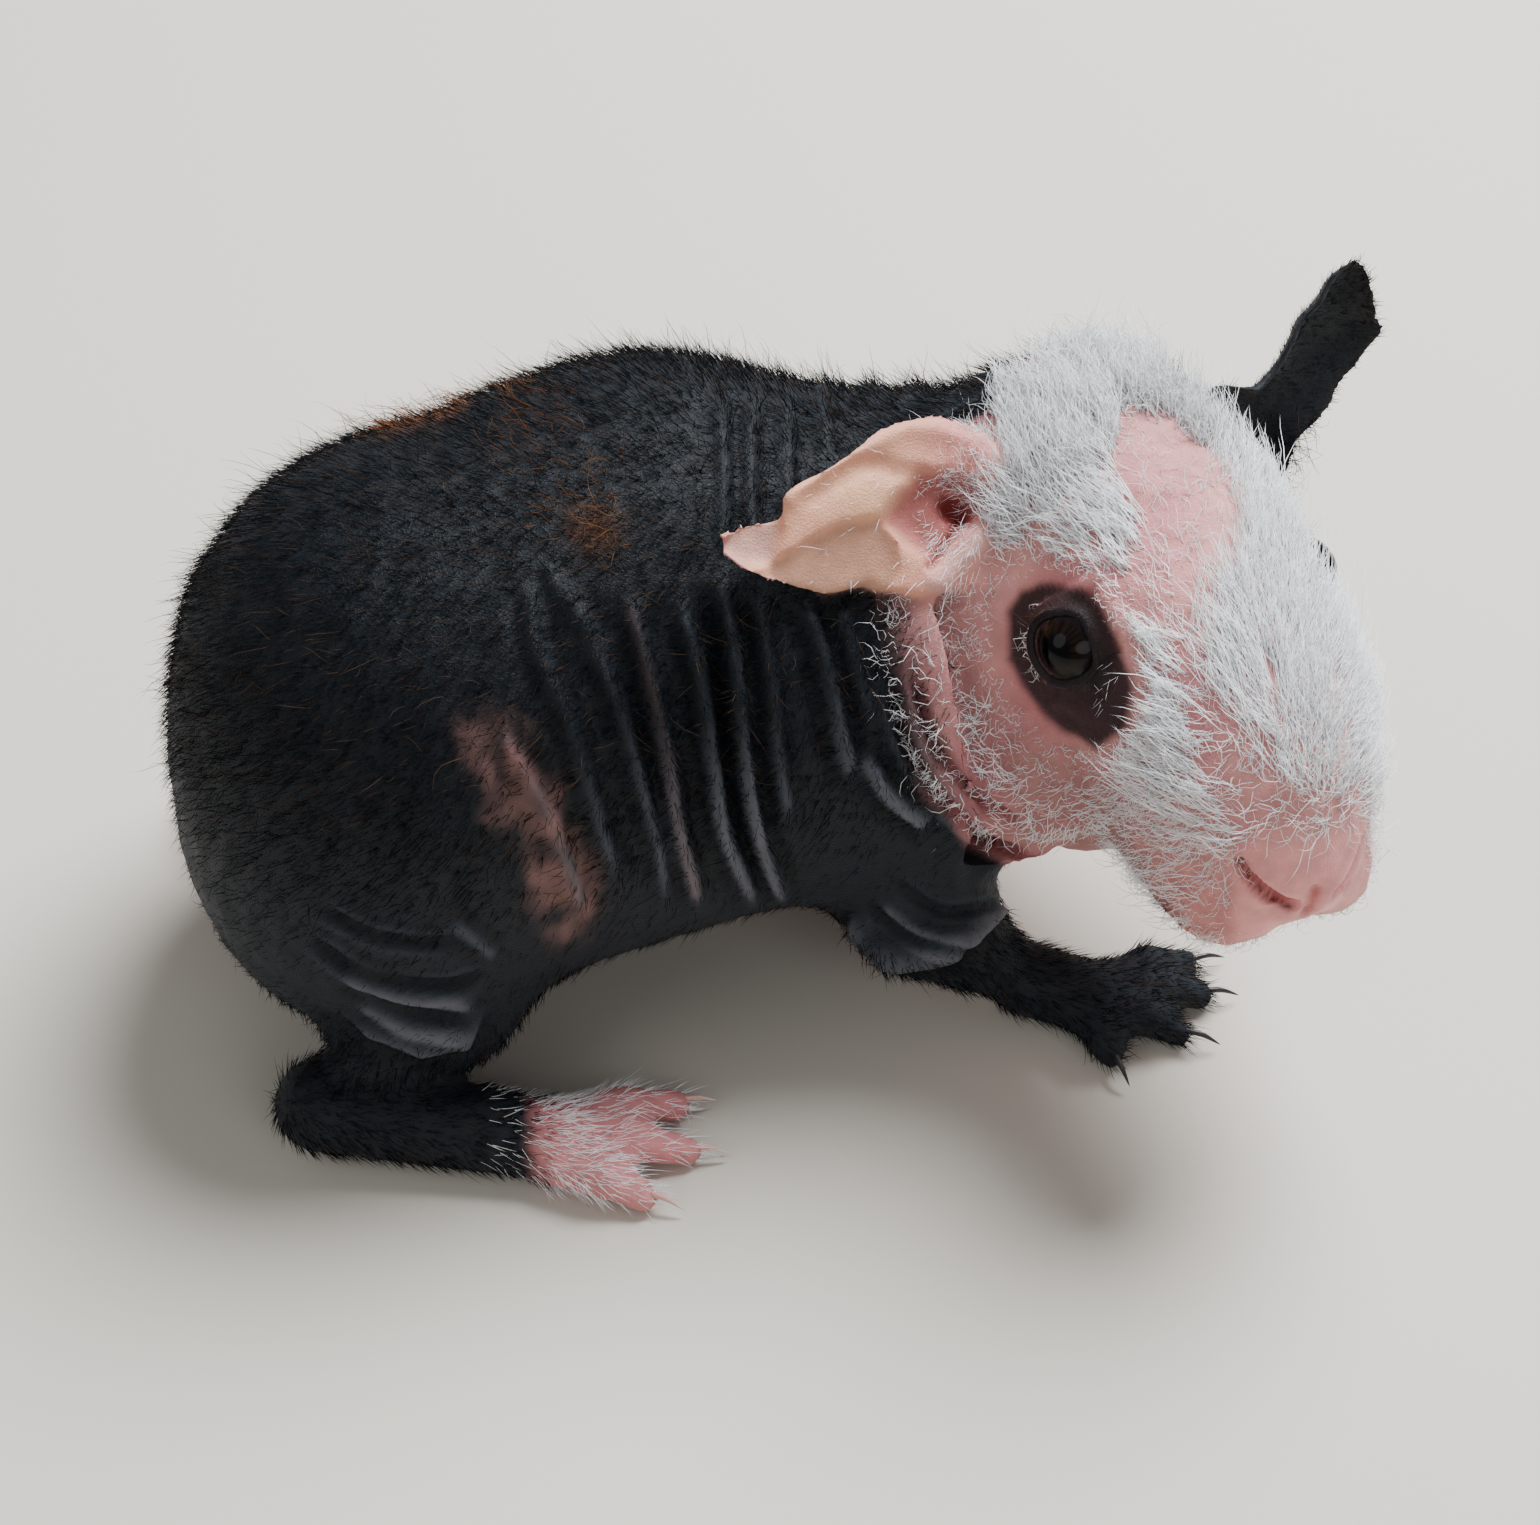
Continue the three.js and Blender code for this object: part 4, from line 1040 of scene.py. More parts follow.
skin_material, tree, shader, made = grained_material("loose_skin", 0.24)
rough = node(tree, "ShaderNodeMapRange", {"Value": attribute(tree, "wetness"), "To Min": 0.56, "To Max": 0.2})
rough = maths(tree, "ADD", rough.outputs[0], maths(tree, "MULTIPLY", made["Mask"], 0.12))
tree.links.new(rough, shader.inputs["Roughness"])
bump = node(tree, "ShaderNodeBump", {"Strength": 0.5, "Distance": 0.00012, "Height": made["Height"]})
tree.links.new(bump.outputs[0], shader.inputs["Normal"])
set_inputs(
    shader,
    {
        "Subsurface Weight": 0.12,
        "Subsurface Radius": (1.0, 0.35, 0.2),
        "Subsurface Scale": 0.0012,
        "Specular IOR Level": 0.22,
        "Sheen Weight": 0.02,
        "Sheen Roughness": 0.5,
        "Sheen Tint": (0.75, 0.82, 1.0, 1),
    },
)
skin.data.materials.clear()
skin.data.materials.append(skin_material)
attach(skin, "root")
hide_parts(*FLESH)
print("skin triangles:", 2 * len(skin.data.polygons))

# %% [markdown]
# ## A map for the hair
#
# A baked hair needs its own small patch of a texture. We unwrap a light copy of the skin, and each
# hair takes a patch at the place of its root, so neighbours on the animal are neighbours on the map.

# %% Unwrap a light copy of the skin
chart_skin = skin.copy()
chart_skin.data = skin.data.copy()
chart_skin.name = "chart_skin"
bpy.context.collection.objects.link(chart_skin)
thin = chart_skin.modifiers.new("thin", "DECIMATE")
thin.ratio = 0.04
bake_modifiers(chart_skin)
bpy.context.view_layer.objects.active = chart_skin
chart_skin.select_set(True)
bpy.ops.object.mode_set(mode="EDIT")
bpy.ops.mesh.select_all(action="SELECT")
bpy.ops.uv.smart_project(angle_limit=math.radians(66), island_margin=0.003)
bpy.ops.object.mode_set(mode="OBJECT")
chart_mesh = chart_skin.data
chart_tree = KDTree(len(chart_mesh.polygons))
for face in chart_mesh.polygons:
    chart_tree.insert(face.center, face.index)
chart_tree.balance()
face_uv = np.empty(2 * len(chart_mesh.loops))
chart_mesh.uv_layers.active.data.foreach_get("uv", face_uv)
face_uv = face_uv.reshape(-1, 2)


def root_uv(p):
    """The place of each point on the unwrap, found in the nearest face of the light copy."""
    out = np.empty((len(p), 2))
    for i, q in enumerate(p.tolist()):
        face = chart_mesh.polygons[chart_tree.find(q)[1]]
        corners = [chart_mesh.vertices[v].co for v in face.vertices]
        weights = poly_3d_calc(corners, Vector(q))
        out[i] = np.array(weights) @ face_uv[list(face.loop_indices)]
    return out


print("light copy:", len(chart_mesh.polygons), "faces")

# %% [markdown]
# ## Growing hair
#
# Hair is real mesh here, because particle hair would be lost when the model leaves Blender. One hair
# is a thin three-sided cone bent along a curl. We make thousands at once with arrays: a root and a
# normal from the skin, a lie that says which way the coat runs, and a spiral that makes it wiry.


# %% Scatter roots and build strands
ROOT_DEPTH = 0.25  # mm of each hair below the skin
UV_PATCH = 0.003  # the size of a hair's place on the unwrap, where the whole is 1
OVER_FLOOR = 0.1  # mm, so that no hair dips below the floor


def scatter(weight, number, seed):
    """Random places on the skin, more where the weight is high: point, normal and a vertex beside it."""
    rng = np.random.default_rng(seed)
    a, b, c, d = (points[quads[:, i]] for i in range(4))
    area = np.linalg.norm(np.cross(c - a, d - b), axis=1) / 2
    chance = area * weight[quads].mean(1)
    pick = rng.choice(len(quads), number, p=chance / chance.sum())
    s, t = rng.random(number)[:, None], rng.random(number)[:, None]
    corners = points[quads[pick]]
    one_side = (1 - t) * corners[:, 0] + t * corners[:, 3]
    other_side = (1 - t) * corners[:, 1] + t * corners[:, 2]
    place = (1 - s) * one_side + s * other_side
    vertex = quads[pick, rng.integers(0, 4, number)]
    return place, normals[vertex], vertex


def unit(v):
    return v / np.maximum(np.linalg.norm(v, axis=1), 1e-9)[:, None]


def mesh_from_triangles(name, p, triangles):
    mesh = bpy.data.meshes.new(name)
    mesh.vertices.add(len(p))
    mesh.vertices.foreach_set("co", p.ravel())
    mesh.loops.add(3 * len(triangles))
    mesh.loops.foreach_set("vertex_index", triangles.ravel())
    mesh.polygons.add(len(triangles))
    mesh.polygons.foreach_set("loop_start", np.arange(0, 3 * len(triangles), 3))
    mesh.polygons.foreach_set("use_smooth", np.ones(len(triangles), bool))
    mesh.update(calc_edges=True)
    return mesh


def grow(name, place, normal, lie, colour, length, width, lift, curl, turns, rings, seed, droop=0.0):
    """Strands from roots in drawn mm. Lift is the angle off the skin in degrees, and curl is in mm."""
    rng = np.random.default_rng(seed)
    n = len(place)
    along = unit(lie - (lie * normal).sum(1)[:, None] * normal + 1e-6)
    angle = np.radians(lift) * np.ones(n)
    main = unit(np.cos(angle)[:, None] * along + np.sin(angle)[:, None] * normal)
    b1 = unit(np.cross(main, normal) + 1e-6)
    b2 = np.cross(main, b1)
    length = length * np.ones(n)
    curl = curl * np.ones(n)
    phase = rng.random(n) * 2 * math.pi
    spin = np.where(rng.random(n) > 0.5, 1.0, -1.0) * turns * (0.7 + 0.6 * rng.random(n))
    root = place - ROOT_DEPTH * normal
    size = rings * 3 + 1
    p = np.empty((n, size, 3))
    for ring in range(rings + 1):
        s = ring / rings
        turned = phase + spin * 2 * math.pi * s
        swing = curl * s**0.8
        centre = root + (length * s)[:, None] * main
        centre += (swing * (np.cos(turned) - np.cos(phase) * (1 - s)))[:, None] * b1
        centre += (swing * (np.sin(turned) - np.sin(phase) * (1 - s)))[:, None] * b2
        centre -= (droop * length * s * s)[:, None] * normal
        if ring == rings:
            p[:, -1] = centre
            break
        radius = 0.5 * width * (1 - s) ** 0.55
        for k in range(3):
            a = 2 * math.pi * k / 3
            p[:, ring * 3 + k] = centre + radius * (math.cos(a) * b1 + math.sin(a) * b2)
    one_hair = [(0, 2, 1)]
    for ring in range(rings - 1):
        for k in range(3):
            a, b = ring * 3 + k, ring * 3 + (k + 1) % 3
            one_hair += [(a, b, b + 3), (a, b + 3, a + 3)]
    last = (rings - 1) * 3
    one_hair += [(last + k, last + (k + 1) % 3, rings * 3) for k in range(3)]
    triangles = (np.array(one_hair)[None] + size * np.arange(n)[:, None, None]).reshape(-1, 3)
    p[:, :, 2] = np.maximum(p[:, :, 2], OVER_FLOOR)
    mesh = mesh_from_triangles(name, to_scene(p.reshape(-1, 3)), triangles)
    piece = add_object(name, mesh)
    paint(mesh, "tint", np.repeat(colour, size, axis=0))
    share = np.append(np.repeat(np.arange(rings) / rings, 3), 1.0)
    uv = root_uv(to_scene(place))
    patch = np.stack([share - 0.5, np.append(np.tile([-0.5, 0.0, 0.5], rings), 0.0)], 1) * UV_PATCH
    uv = (uv[:, None] + patch[None]).reshape(-1, 2)
    layer = mesh.uv_layers.new(name="OFBake")
    layer.data.foreach_set("uv", uv[triangles.ravel()].ravel())
    mesh.materials.append(hair_material)
    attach(piece, "root")
    print(f"{name}: {n} hairs, {len(triangles)} triangles")


# %% Hair material
hair_material, tree, shader, made = grained_material("fine_hair", 0.3, 2.0)
rough = node(tree, "ShaderNodeMapRange", {"Value": made["Mask"], "To Min": 0.42, "To Max": 0.6})
tree.links.new(rough.outputs[0], shader.inputs["Roughness"])
set_inputs(shader, {"Specular IOR Level": 0.06})
print("hair material nodes:", len(hair_material.node_tree.nodes))

# %% [markdown]
# ## The white head hair
#
# The head keeps most of its hair: a dense white mop on the crown and along the nose, with a bare
# strip across the forehead between them, and sparse wiry curls on the cheeks, lips and chin.

# %% Head hair weights
WHITE = np.array([0.955, 0.965, 0.98])
white_skin = pink * of_parts("head") * (1 - plum) * step(1.35, 1.7, lid)
top = step(-3.5, 4.5, z_head + 0.10 * (x_head - 20))
crown = step(9.5, 6.0, x_head - 0.12 * y_head + 0.6 * ragged) * step(-14, -9, x_head)
bridge = step(15.5, 20.5, x_head + 0.20 * y_head + 0.6 * ragged) * step(43.5, 40.5, x_head)
BARE_STRIP = [
    (1151, 431), (1190, 437), (1230, 475), (1265, 528), (1270, 572), (1248, 607), (1239, 651),
    (1190, 660), (1159, 647), (1146, 607), (1168, 541), (1137, 488), (1137, 453),
]
ROSY_GAP = [
    (1190, 660), (1239, 651), (1248, 718), (1292, 784), (1345, 841), (1327, 872), (1248, 850),
    (1221, 784), (1204, 718),
]
BARE_NOSE = [(1256, 872), (1292, 857), (1380, 857), (1396, 917), (1362, 980), (1309, 984), (1266, 940)]
strip = step(-0.6, 0.9, within(BARE_STRIP) + 0.5 * ragged) * shown
rosy_gap = step(-0.6, 0.9, within(ROSY_GAP) + 0.5 * ragged) * shown
bare_nose = step(-0.8, 1.0, within(BARE_NOSE) + 0.4 * ragged) * shown
patch_in = within(EYE_PATCH)
off_ear = 1 - step(-4.0, -1.0, within(RIGHT_EAR)) * shown * step(1040, 1012, mark_x)
off_patch = 1 - step(-3.4, -1.4, patch_in) * shown * step(-2, -5, y_head)
crown_right = step(13, 9, x_head - 0.12 * y_head) * step(-14, -9, x_head)
bridge_right = step(10, 14, x_head) * step(44.5, 42.5, x_head)
by_view = off_ear * np.clip(crown_right + bridge_right, 0, 1) * (1 - strip)
by_view = by_view * (1 - 0.95 * rosy_gap) * (1 - bare_nose) * off_patch
by_head = np.clip(crown + bridge, 0, 1)
dense = white_skin * top * np.clip(shown * by_view + (1 - shown) * by_head, 0, 1)
brow = white_skin * step(-6, -1, z_head) * step(12, 7, z_head) * step(8, 11, x_head)
cheek = white_skin * (1 - 0.8 * dense) * (1 - nose_pad) * step(-20, -17, z_head) * (1 - step(1.6, 1.0, canal))
throat = pink * part["neck"] * step(-1.5, 3.0, view_xy[:, 1]) * shown
cheek *= (0.7 + 0.3 * step(8, 18, x_head)) * (1 - 0.85 * bare_nose) * (1 - 0.6 * strip) * (1 - 0.6 * rosy_gap)
CHEEK_FRINGE = [(900, 622), (910, 667), (906, 704), (922, 749), (950, 795), (988, 845)]
fringe = np.exp(-((line_distance(view_xy, curve(at_view(CHEEK_FRINGE)))[0] / 1.3) ** 2)) * shown
fringe *= of_parts("head", "neck", "torso") * step(-5, -9, y_head)
cheek = np.maximum.reduce([cheek, 0.9 * fringe, 0.6 * throat])
short_here = 1 - 0.6 * step(-6.5, -2.0, patch_in) * shown * step(-2, -5, y_head)
cheek *= 1 - step(-1.6, -0.3, patch_in) * shown * step(-2, -5, y_head)


def on_head_axes(v):
    return np.asarray(v, float) @ HEAD.matrix.T


def jitter(place, amount, seed):
    """A random lean for each hair."""
    return amount * np.random.default_rng(seed).normal(size=(len(place), 3))


def vary(place, middle, spread, seed):
    """A random size for each hair, most of them near the middle."""
    return middle * np.exp(spread * np.random.default_rng(seed).normal(size=len(place)))


def shades_of(colour, place, darkest=1.0, seed=0):
    """A shade of one colour for each hair, or the plain colour."""
    return colour * np.random.default_rng(seed).uniform(darkest, 1, (len(place), 1))


def into_locks(place, lie, every, pull):
    """Leans each hair to the root of its lock, one hair in so many, so that the tips of a lock meet."""
    tree = KDTree(len(place[::every]))
    for i, p in enumerate(place[::every]):
        tree.insert(p, i)
    tree.balance()
    return unit(lie) + pull * (np.array([tree.find(p)[0] for p in place]) - place)


locks = np.stack([noise(points, 2.7, 91 + i) for i in range(3)], 1)  # neighbours lean the same way
place, normal, at = scatter(dense * step(11, 8, x_head), 4600, 101)
lie = on_head_axes([-1.0, 0, 0.45]) + 0.9 * locks[at] + jitter(place, 0.22, 1)
lie = into_locks(place, lie, 15, 0.26)
length = vary(place, 4.4, 0.3, 2) * short_here[at]
grow("hair_crown", place, normal, lie, shades_of(WHITE, place, 0.72, 71), length, width=0.14, lift=40,
     curl=vary(place, 0.6, 0.4, 3), turns=0.9, rings=5, seed=4, droop=0.15)

place, normal, at = scatter(dense * step(8, 11, x_head) * (1 - 0.3 * step(-0.1, 0.5, locks[:, 0])), 6400, 102)
parting = 0.35 * np.clip(y_head[at] / 6, -1, 1)[:, None] * on_head_axes([0, 1, -0.2])
lie = on_head_axes([-0.9, 0, 0.2]) + parting + 0.5 * locks[at] + jitter(place, 0.15, 5)
lie = into_locks(place, lie, 13, 0.26)
length = vary(place, 4.4, 0.28, 6) * (1.1 - 0.35 * step(34, 42, x_head[at])) * short_here[at]
grow("hair_bridge", place, normal, lie, shades_of(WHITE, place, 0.92, 72), length, width=0.14, lift=30,
     curl=vary(place, 0.4, 0.4, 7), turns=0.8, rings=5, seed=8, droop=0.15)

place, normal, at = scatter(cheek * (1 + 1.3 * brow + 0.8 * fringe), 6800, 103)
lie = on_head_axes([-0.8, 0, -0.45]) + 0.6 * locks[at] + jitter(place, 0.32, 9)
lie = into_locks(place, lie, 9, 0.24)
length = vary(place, 3.1, 0.3, 10) * (1 - 0.35 * muzzle[at]) * short_here[at] * (1 - 0.25 * fringe[at])
grow("hair_cheeks", place, normal, lie, shades_of(WHITE, place, 0.85, 73), length, width=0.10, lift=26,
     curl=vary(place, 0.55, 0.4, 11), turns=1.1, rings=5, seed=12, droop=0.15)

# %% [markdown]
# ## Fuzz on the black body
#
# The body isn't quite bare. A short black fuzz covers the back and rump, dense enough to hide the
# skin there, and thins out down the flanks. Along the outline some longer hairs stand up.

# %% Body fuzz
x, y, z = points.T
black_skin = (1 - pink) * (1 - 0.75 * flank_patch)
body = of_parts("torso", "neck", "head") * black_skin
height_on_body = step(20, 46, z)
lie_body = np.stack([-np.ones(COUNT), 0.10 * (y + 15) / 20, -0.45 * np.ones(COUNT)], 1)
INK = np.array([0.0045, 0.0065, 0.0095])
UMBER = np.array([0.060, 0.036, 0.022])


def dark_coat(at, seed):
    """Mostly ink, with a brown tip here and there, and rust in the rust area."""
    rng = np.random.default_rng(seed)
    brown = (rng.random(len(at)) < 0.12)[:, None]
    base = np.where(brown, UMBER, INK)
    rusty = (rng.random(len(at)) < 0.12 * rust[at])[:, None]
    return np.where(rusty, RUST * (0.3 + 0.5 * rng.random((len(at), 1))), base)


fuzz_weight = body * (0.05 + 0.95 * height_on_body) * (1 - 0.4 * step(0.2, 0.8, relief))
for batch in range(3):
    place, normal, at = scatter(fuzz_weight, 12000, 200 + batch)
    lie = lie_body[at] + jitter(place, 0.35, 13 + batch)
    length = vary(place, 1.9, 0.3, 17 + batch) * (0.75 + 0.4 * height_on_body[at])
    grow(f"fuzz_back_{batch + 1}", place, normal, lie, dark_coat(at, 15 + batch), length, width=0.085,
         lift=34, curl=vary(place, 0.16, 0.4, 19 + batch), turns=0.5, rings=2, seed=21 + batch)

ear_foot = left_ear * step(36.5, 33.5, view_xy[:, 1])
place, normal, at = scatter(body * step(30, 50, z) + 8.0 * ear_foot, 3000, 210)
lie = lie_body[at] + jitter(place, 0.6, 23) + 1.3 * ear_foot[at][:, None] * [1.0, -0.6, 0.3]
curl = vary(place, 0.35, 0.4, 26) * (1 + 1.6 * ear_foot[at])
grow("fuzz_long", place, normal, lie, dark_coat(at, 24), length=vary(place, 3.6, 0.25, 25), width=0.085,
     lift=55, curl=curl, turns=0.7, rings=4, seed=27, droop=0.08)

place, normal, at = scatter(body * step(24, 12, z) + 0.9 * black_skin * legs, 8500, 211)
lie = lie_body[at] + jitter(place, 0.5, 28)
grow("fuzz_belly", place, normal, lie, dark_coat(at, 29), length=vary(place, 1.2, 0.3, 30), width=0.07,
     lift=30, curl=vary(place, 0.12, 0.4, 31), turns=0.5, rings=2, seed=32)

rust_weight = 0.15 * rust + 0.9 * rust_spot + 0.8 * rust_left
rust_weight += 0.12 * flank_patch * step(0.3, 0.8, flank_patch)
rust_weight *= 1 - part["head"]
place, normal, at = scatter(rust_weight, 800, 212)
lie = lie_body[at] + jitter(place, 0.9, 33)
BROWN = np.array([0.15, 0.075, 0.035])
shades = np.where(rust_left[at][:, None] > 0.2, RUST, BROWN)
shades = shades * (0.45 + 0.7 * np.random.default_rng(34).random((len(place), 1)))
grow("rust_curls", place, normal, lie, shades, length=vary(place, 3.6, 0.35, 35), width=0.085,
     lift=26, curl=vary(place, 0.7, 0.4, 36), turns=1.0, rings=6, seed=37)

# %% [markdown]
# ## Fur on the feet, legs and black ear
#
# The feet are velvety: short dense fur that lies towards the toes, black or white with the skin
# below. White hairs fringe the pink toes. The black ear has a fine nap, and the pink ear almost none.

# %% Feet, ears and whiskers
TOES_AHEAD = {
    "hindfoot_right": [1, 0.0, -0.25], "hindfoot_left": [0.75, 0.55, -0.25],
    "forefoot_right": [1, 0.0, -0.35], "forefoot_left": [1, 0.1, -0.35],
    "hindleg_right": [-0.3, 0, -1], "hindleg_left": [-0.3, 0, -1],
    "foreleg_right": [0.8, 0, -0.8], "foreleg_left": [0.8, 0, -0.8],
}
lie_foot = sum(part[n][:, None] * np.array(v, float) for n, v in TOES_AHEAD.items())
sole = step(0.2, 0.7, -normals[:, 2]) * step(3, 1.2, z)
shank = legs * step(17, 12, z)
black_foot = np.clip(feet + shank, 0, 1) * (1 - pink) * (1 - 0.85 * sole)
place, normal, at = scatter(black_foot, 9000, 301)
lie = lie_foot[at] + jitter(place, 0.3, 41)
grow("fur_black_feet", place, normal, lie, dark_coat(at, 42), length=vary(place, 1.9, 0.25, 43), width=0.1,
     lift=26, curl=vary(place, 0.14, 0.4, 44), turns=0.4, rings=3, seed=45)

white_foot = np.clip(feet + shank, 0, 1) * pink * (1 - 0.9 * sole)
ankle = part["hindfoot_right"] * step(-14, -20, x) * (pink + 0.35 * step(-31, -26, x))
place, normal, at = scatter(white_foot * 0.55 + 0.9 * ankle * (1 - sole), 3800, 302)
lie = lie_foot[at] + jitter(place, 0.3, 46)
grow("fur_white_feet", place, normal, lie, shades_of(WHITE, place), length=vary(place, 2.4, 0.3, 47),
     width=0.085, lift=24, curl=vary(place, 0.2, 0.4, 48), turns=0.4, rings=4, seed=49)

place, normal, at = scatter(left_ear, 4200, 303)
lie = unit(points[at] - HEAD.out([2, 12, 5])) + jitter(place, 0.3, 50)
grow("nap_black_ear", place, normal, lie, dark_coat(at, 51), length=vary(place, 1.0, 0.3, 52), width=0.075,
     lift=30, curl=vary(place, 0.1, 0.4, 53), turns=0.4, rings=3, seed=54)

ear_hair = right_ear * (0.02 + 0.9 * step(955, 1005, mark_x)) * step(800, 850, mark_x)
ear_hair = ear_hair + 1.2 * bowl * step(1.0, 1.4, canal) * step(930, 975, mark_x)
place, normal, at = scatter(ear_hair, 1000, 304)
lie = unit(points[at] - HEAD.out([2, -12, 5])) + jitter(place, 0.4, 55)
grow("hair_pink_ear", place, normal, lie, shades_of(WHITE, place), length=vary(place, 1.9, 0.3, 56),
     width=0.06, lift=26, curl=vary(place, 0.2, 0.4, 57), turns=0.6, rings=4, seed=58)

lip = part["head"] * step(33, 37, x_head) * step(44, 41, x_head)
lip = lip * step(-17, -14, z_head) * step(-6, -9, z_head)
place, normal, at = scatter(lip, 60, 305)
lie = on_head_axes([-0.35, 0, -0.25]) + 0.9 * np.sign(y_head[at])[:, None] * on_head_axes([0, 1, 0])
lie = lie + jitter(place, 0.2, 59)
grow("whiskers", place, normal, lie, shades_of(WHITE, place), length=vary(place, 4.6, 0.22, 60), width=0.11,
     lift=36, curl=vary(place, 0.6, 0.4, 61), turns=0.6, rings=8, seed=62, droop=0.1)

lash = step(1.42, 1.3, lid) * step(1.12, 1.2, lid)
place, normal, at = scatter(lash, 170, 306)
lash_tint = np.where(lid_side[at][:, None] < 0, UMBER * 1.5, WHITE * 0.8)
centre = np.where(lid_side[at][:, None] < 0, EYES["right"].at, EYES["left"].at)
lie = unit(place - centre) + unit(normal) + jitter(place, 0.3, 63)
grow("lashes", place, normal, lie, lash_tint, length=vary(place, 1.6, 0.25, 64), width=0.06, lift=38,
     curl=0.15, turns=0.4, rings=4, seed=65)

# %% [markdown]
# ## Eyes
#
# A guinea pig's eye is a dark bead with a wide pupil and a brown-black iris that only shows in bright
# light. A lathe of rings round the eye's axis gives a ball with a slightly raised cornea, and the
# colour follows the angle from the axis: pupil, streaked iris, dark limbus and a thin pale edge.


# %% Eyeballs
CORNEA = 0.28  # mm that it stands out from the ball


def eyeball(name, eye):
    rings, sides = 40, 64
    polar = np.linspace(0, math.pi, rings + 1)[1:-1]
    turn_by = np.linspace(0, 2 * math.pi, sides, endpoint=False)
    bulge = EYE_BALL + CORNEA * np.exp(-((np.degrees(polar) / 34) ** 2))
    ahead, out = np.repeat(bulge * np.cos(polar), sides), np.repeat(bulge * np.sin(polar), sides)
    turned = np.tile(turn_by, rings - 1)
    p = np.stack([ahead, out * np.cos(turned), out * np.sin(turned)], 1)
    p = np.vstack([p, [[EYE_BALL + CORNEA, 0, 0]], [[-EYE_BALL, 0, 0]]])
    triangles = []
    for r in range(rings - 2):
        for s in range(sides):
            a, b = r * sides + s, r * sides + (s + 1) % sides
            triangles += [(a, a + sides, b + sides), (a, b + sides, b)]
    front, back = len(p) - 2, len(p) - 1
    last = (rings - 2) * sides
    triangles += [(front, s, (s + 1) % sides) for s in range(sides)]
    triangles += [(back, last + (s + 1) % sides, last + s) for s in range(sides)]
    mesh = mesh_from_triangles(name, to_scene(eye.out(p)), np.array(triangles))
    off_axis = np.degrees(np.arctan2(np.hypot(p[:, 1], p[:, 2]), p[:, 0]))
    round_it = np.arctan2(p[:, 2], p[:, 1])
    streak = 0.5 + 0.5 * np.sin(23 * round_it + 2 * np.sin(5 * round_it))
    iris = np.array([0.007, 0.004, 0.003]) * (0.5 + 0.9 * streak[:, None])
    colour = blend(np.tile([0.002, 0.002, 0.003], (len(p), 1)), iris, step(20, 25, off_axis))
    colour = blend(colour, np.array([0.006, 0.005, 0.006]), step(40, 46, off_axis))
    colour = blend(colour, np.array([0.05, 0.035, 0.04]), step(56, 66, off_axis))
    paint(mesh, "tint", colour)
    piece = add_object(name, mesh)
    mesh.materials.append(eye_material)
    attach(piece, "root")
    return piece


eye_material, _, shader, _ = grained_material("wet_eye", 0.35)
set_inputs(shader, {"Roughness": 0.12, "Specular IOR Level": 0.1})
set_inputs(shader, {"Coat Weight": 0.22, "Coat Roughness": 0.02, "Coat IOR": 1.3})
for name, eye in EYES.items():
    piece = eyeball(f"eyeball_{name}", eye)
    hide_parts(f"eye_{name}")
print("eyes: 2, radius", round(EYE_BALL, 2), "mm")

# %% [markdown]
# ## Claws
#
# Each claw is a small blunt horn, arched above and flatter below. It grows from inside the toe, so
# each one starts two millimetres back from its solid and follows a gentle arc to the same tip.


# %% Claw horns
CLAW_ROOT = 2.0  # mm of each claw inside its toe
WIDEST_CLAW = 0.95
HORN = np.array([0.72, 0.56, 0.46])
QUICK_RED = np.array([0.66, 0.33, 0.29])  # the blood that shows through a pale claw
DARK_HORN = np.array([0.018, 0.016, 0.016])


def claw_shape(name):
    cloud, _ = arrays(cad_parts[name].data)
    middle = cloud.mean(0)
    axis = np.linalg.svd(cloud - middle)[2][0]
    end_of, side = name.split("_")[1:3]
    foot, _ = arrays(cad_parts[f"{end_of}foot_{side}"].data)
    if axis @ (middle - foot.mean(0)) < 0:
        axis = -axis
    reach = (cloud - middle) @ axis
    start, end = middle + axis * (reach.min() - CLAW_ROOT), middle + axis * reach.max()
    root = cloud[reach < reach.min() + 0.8]
    root = root - root.mean(0)
    radius = np.linalg.norm(root - (root @ axis)[:, None] * axis, axis=1).max()
    return start, end, axis, min(radius, WIDEST_CLAW)


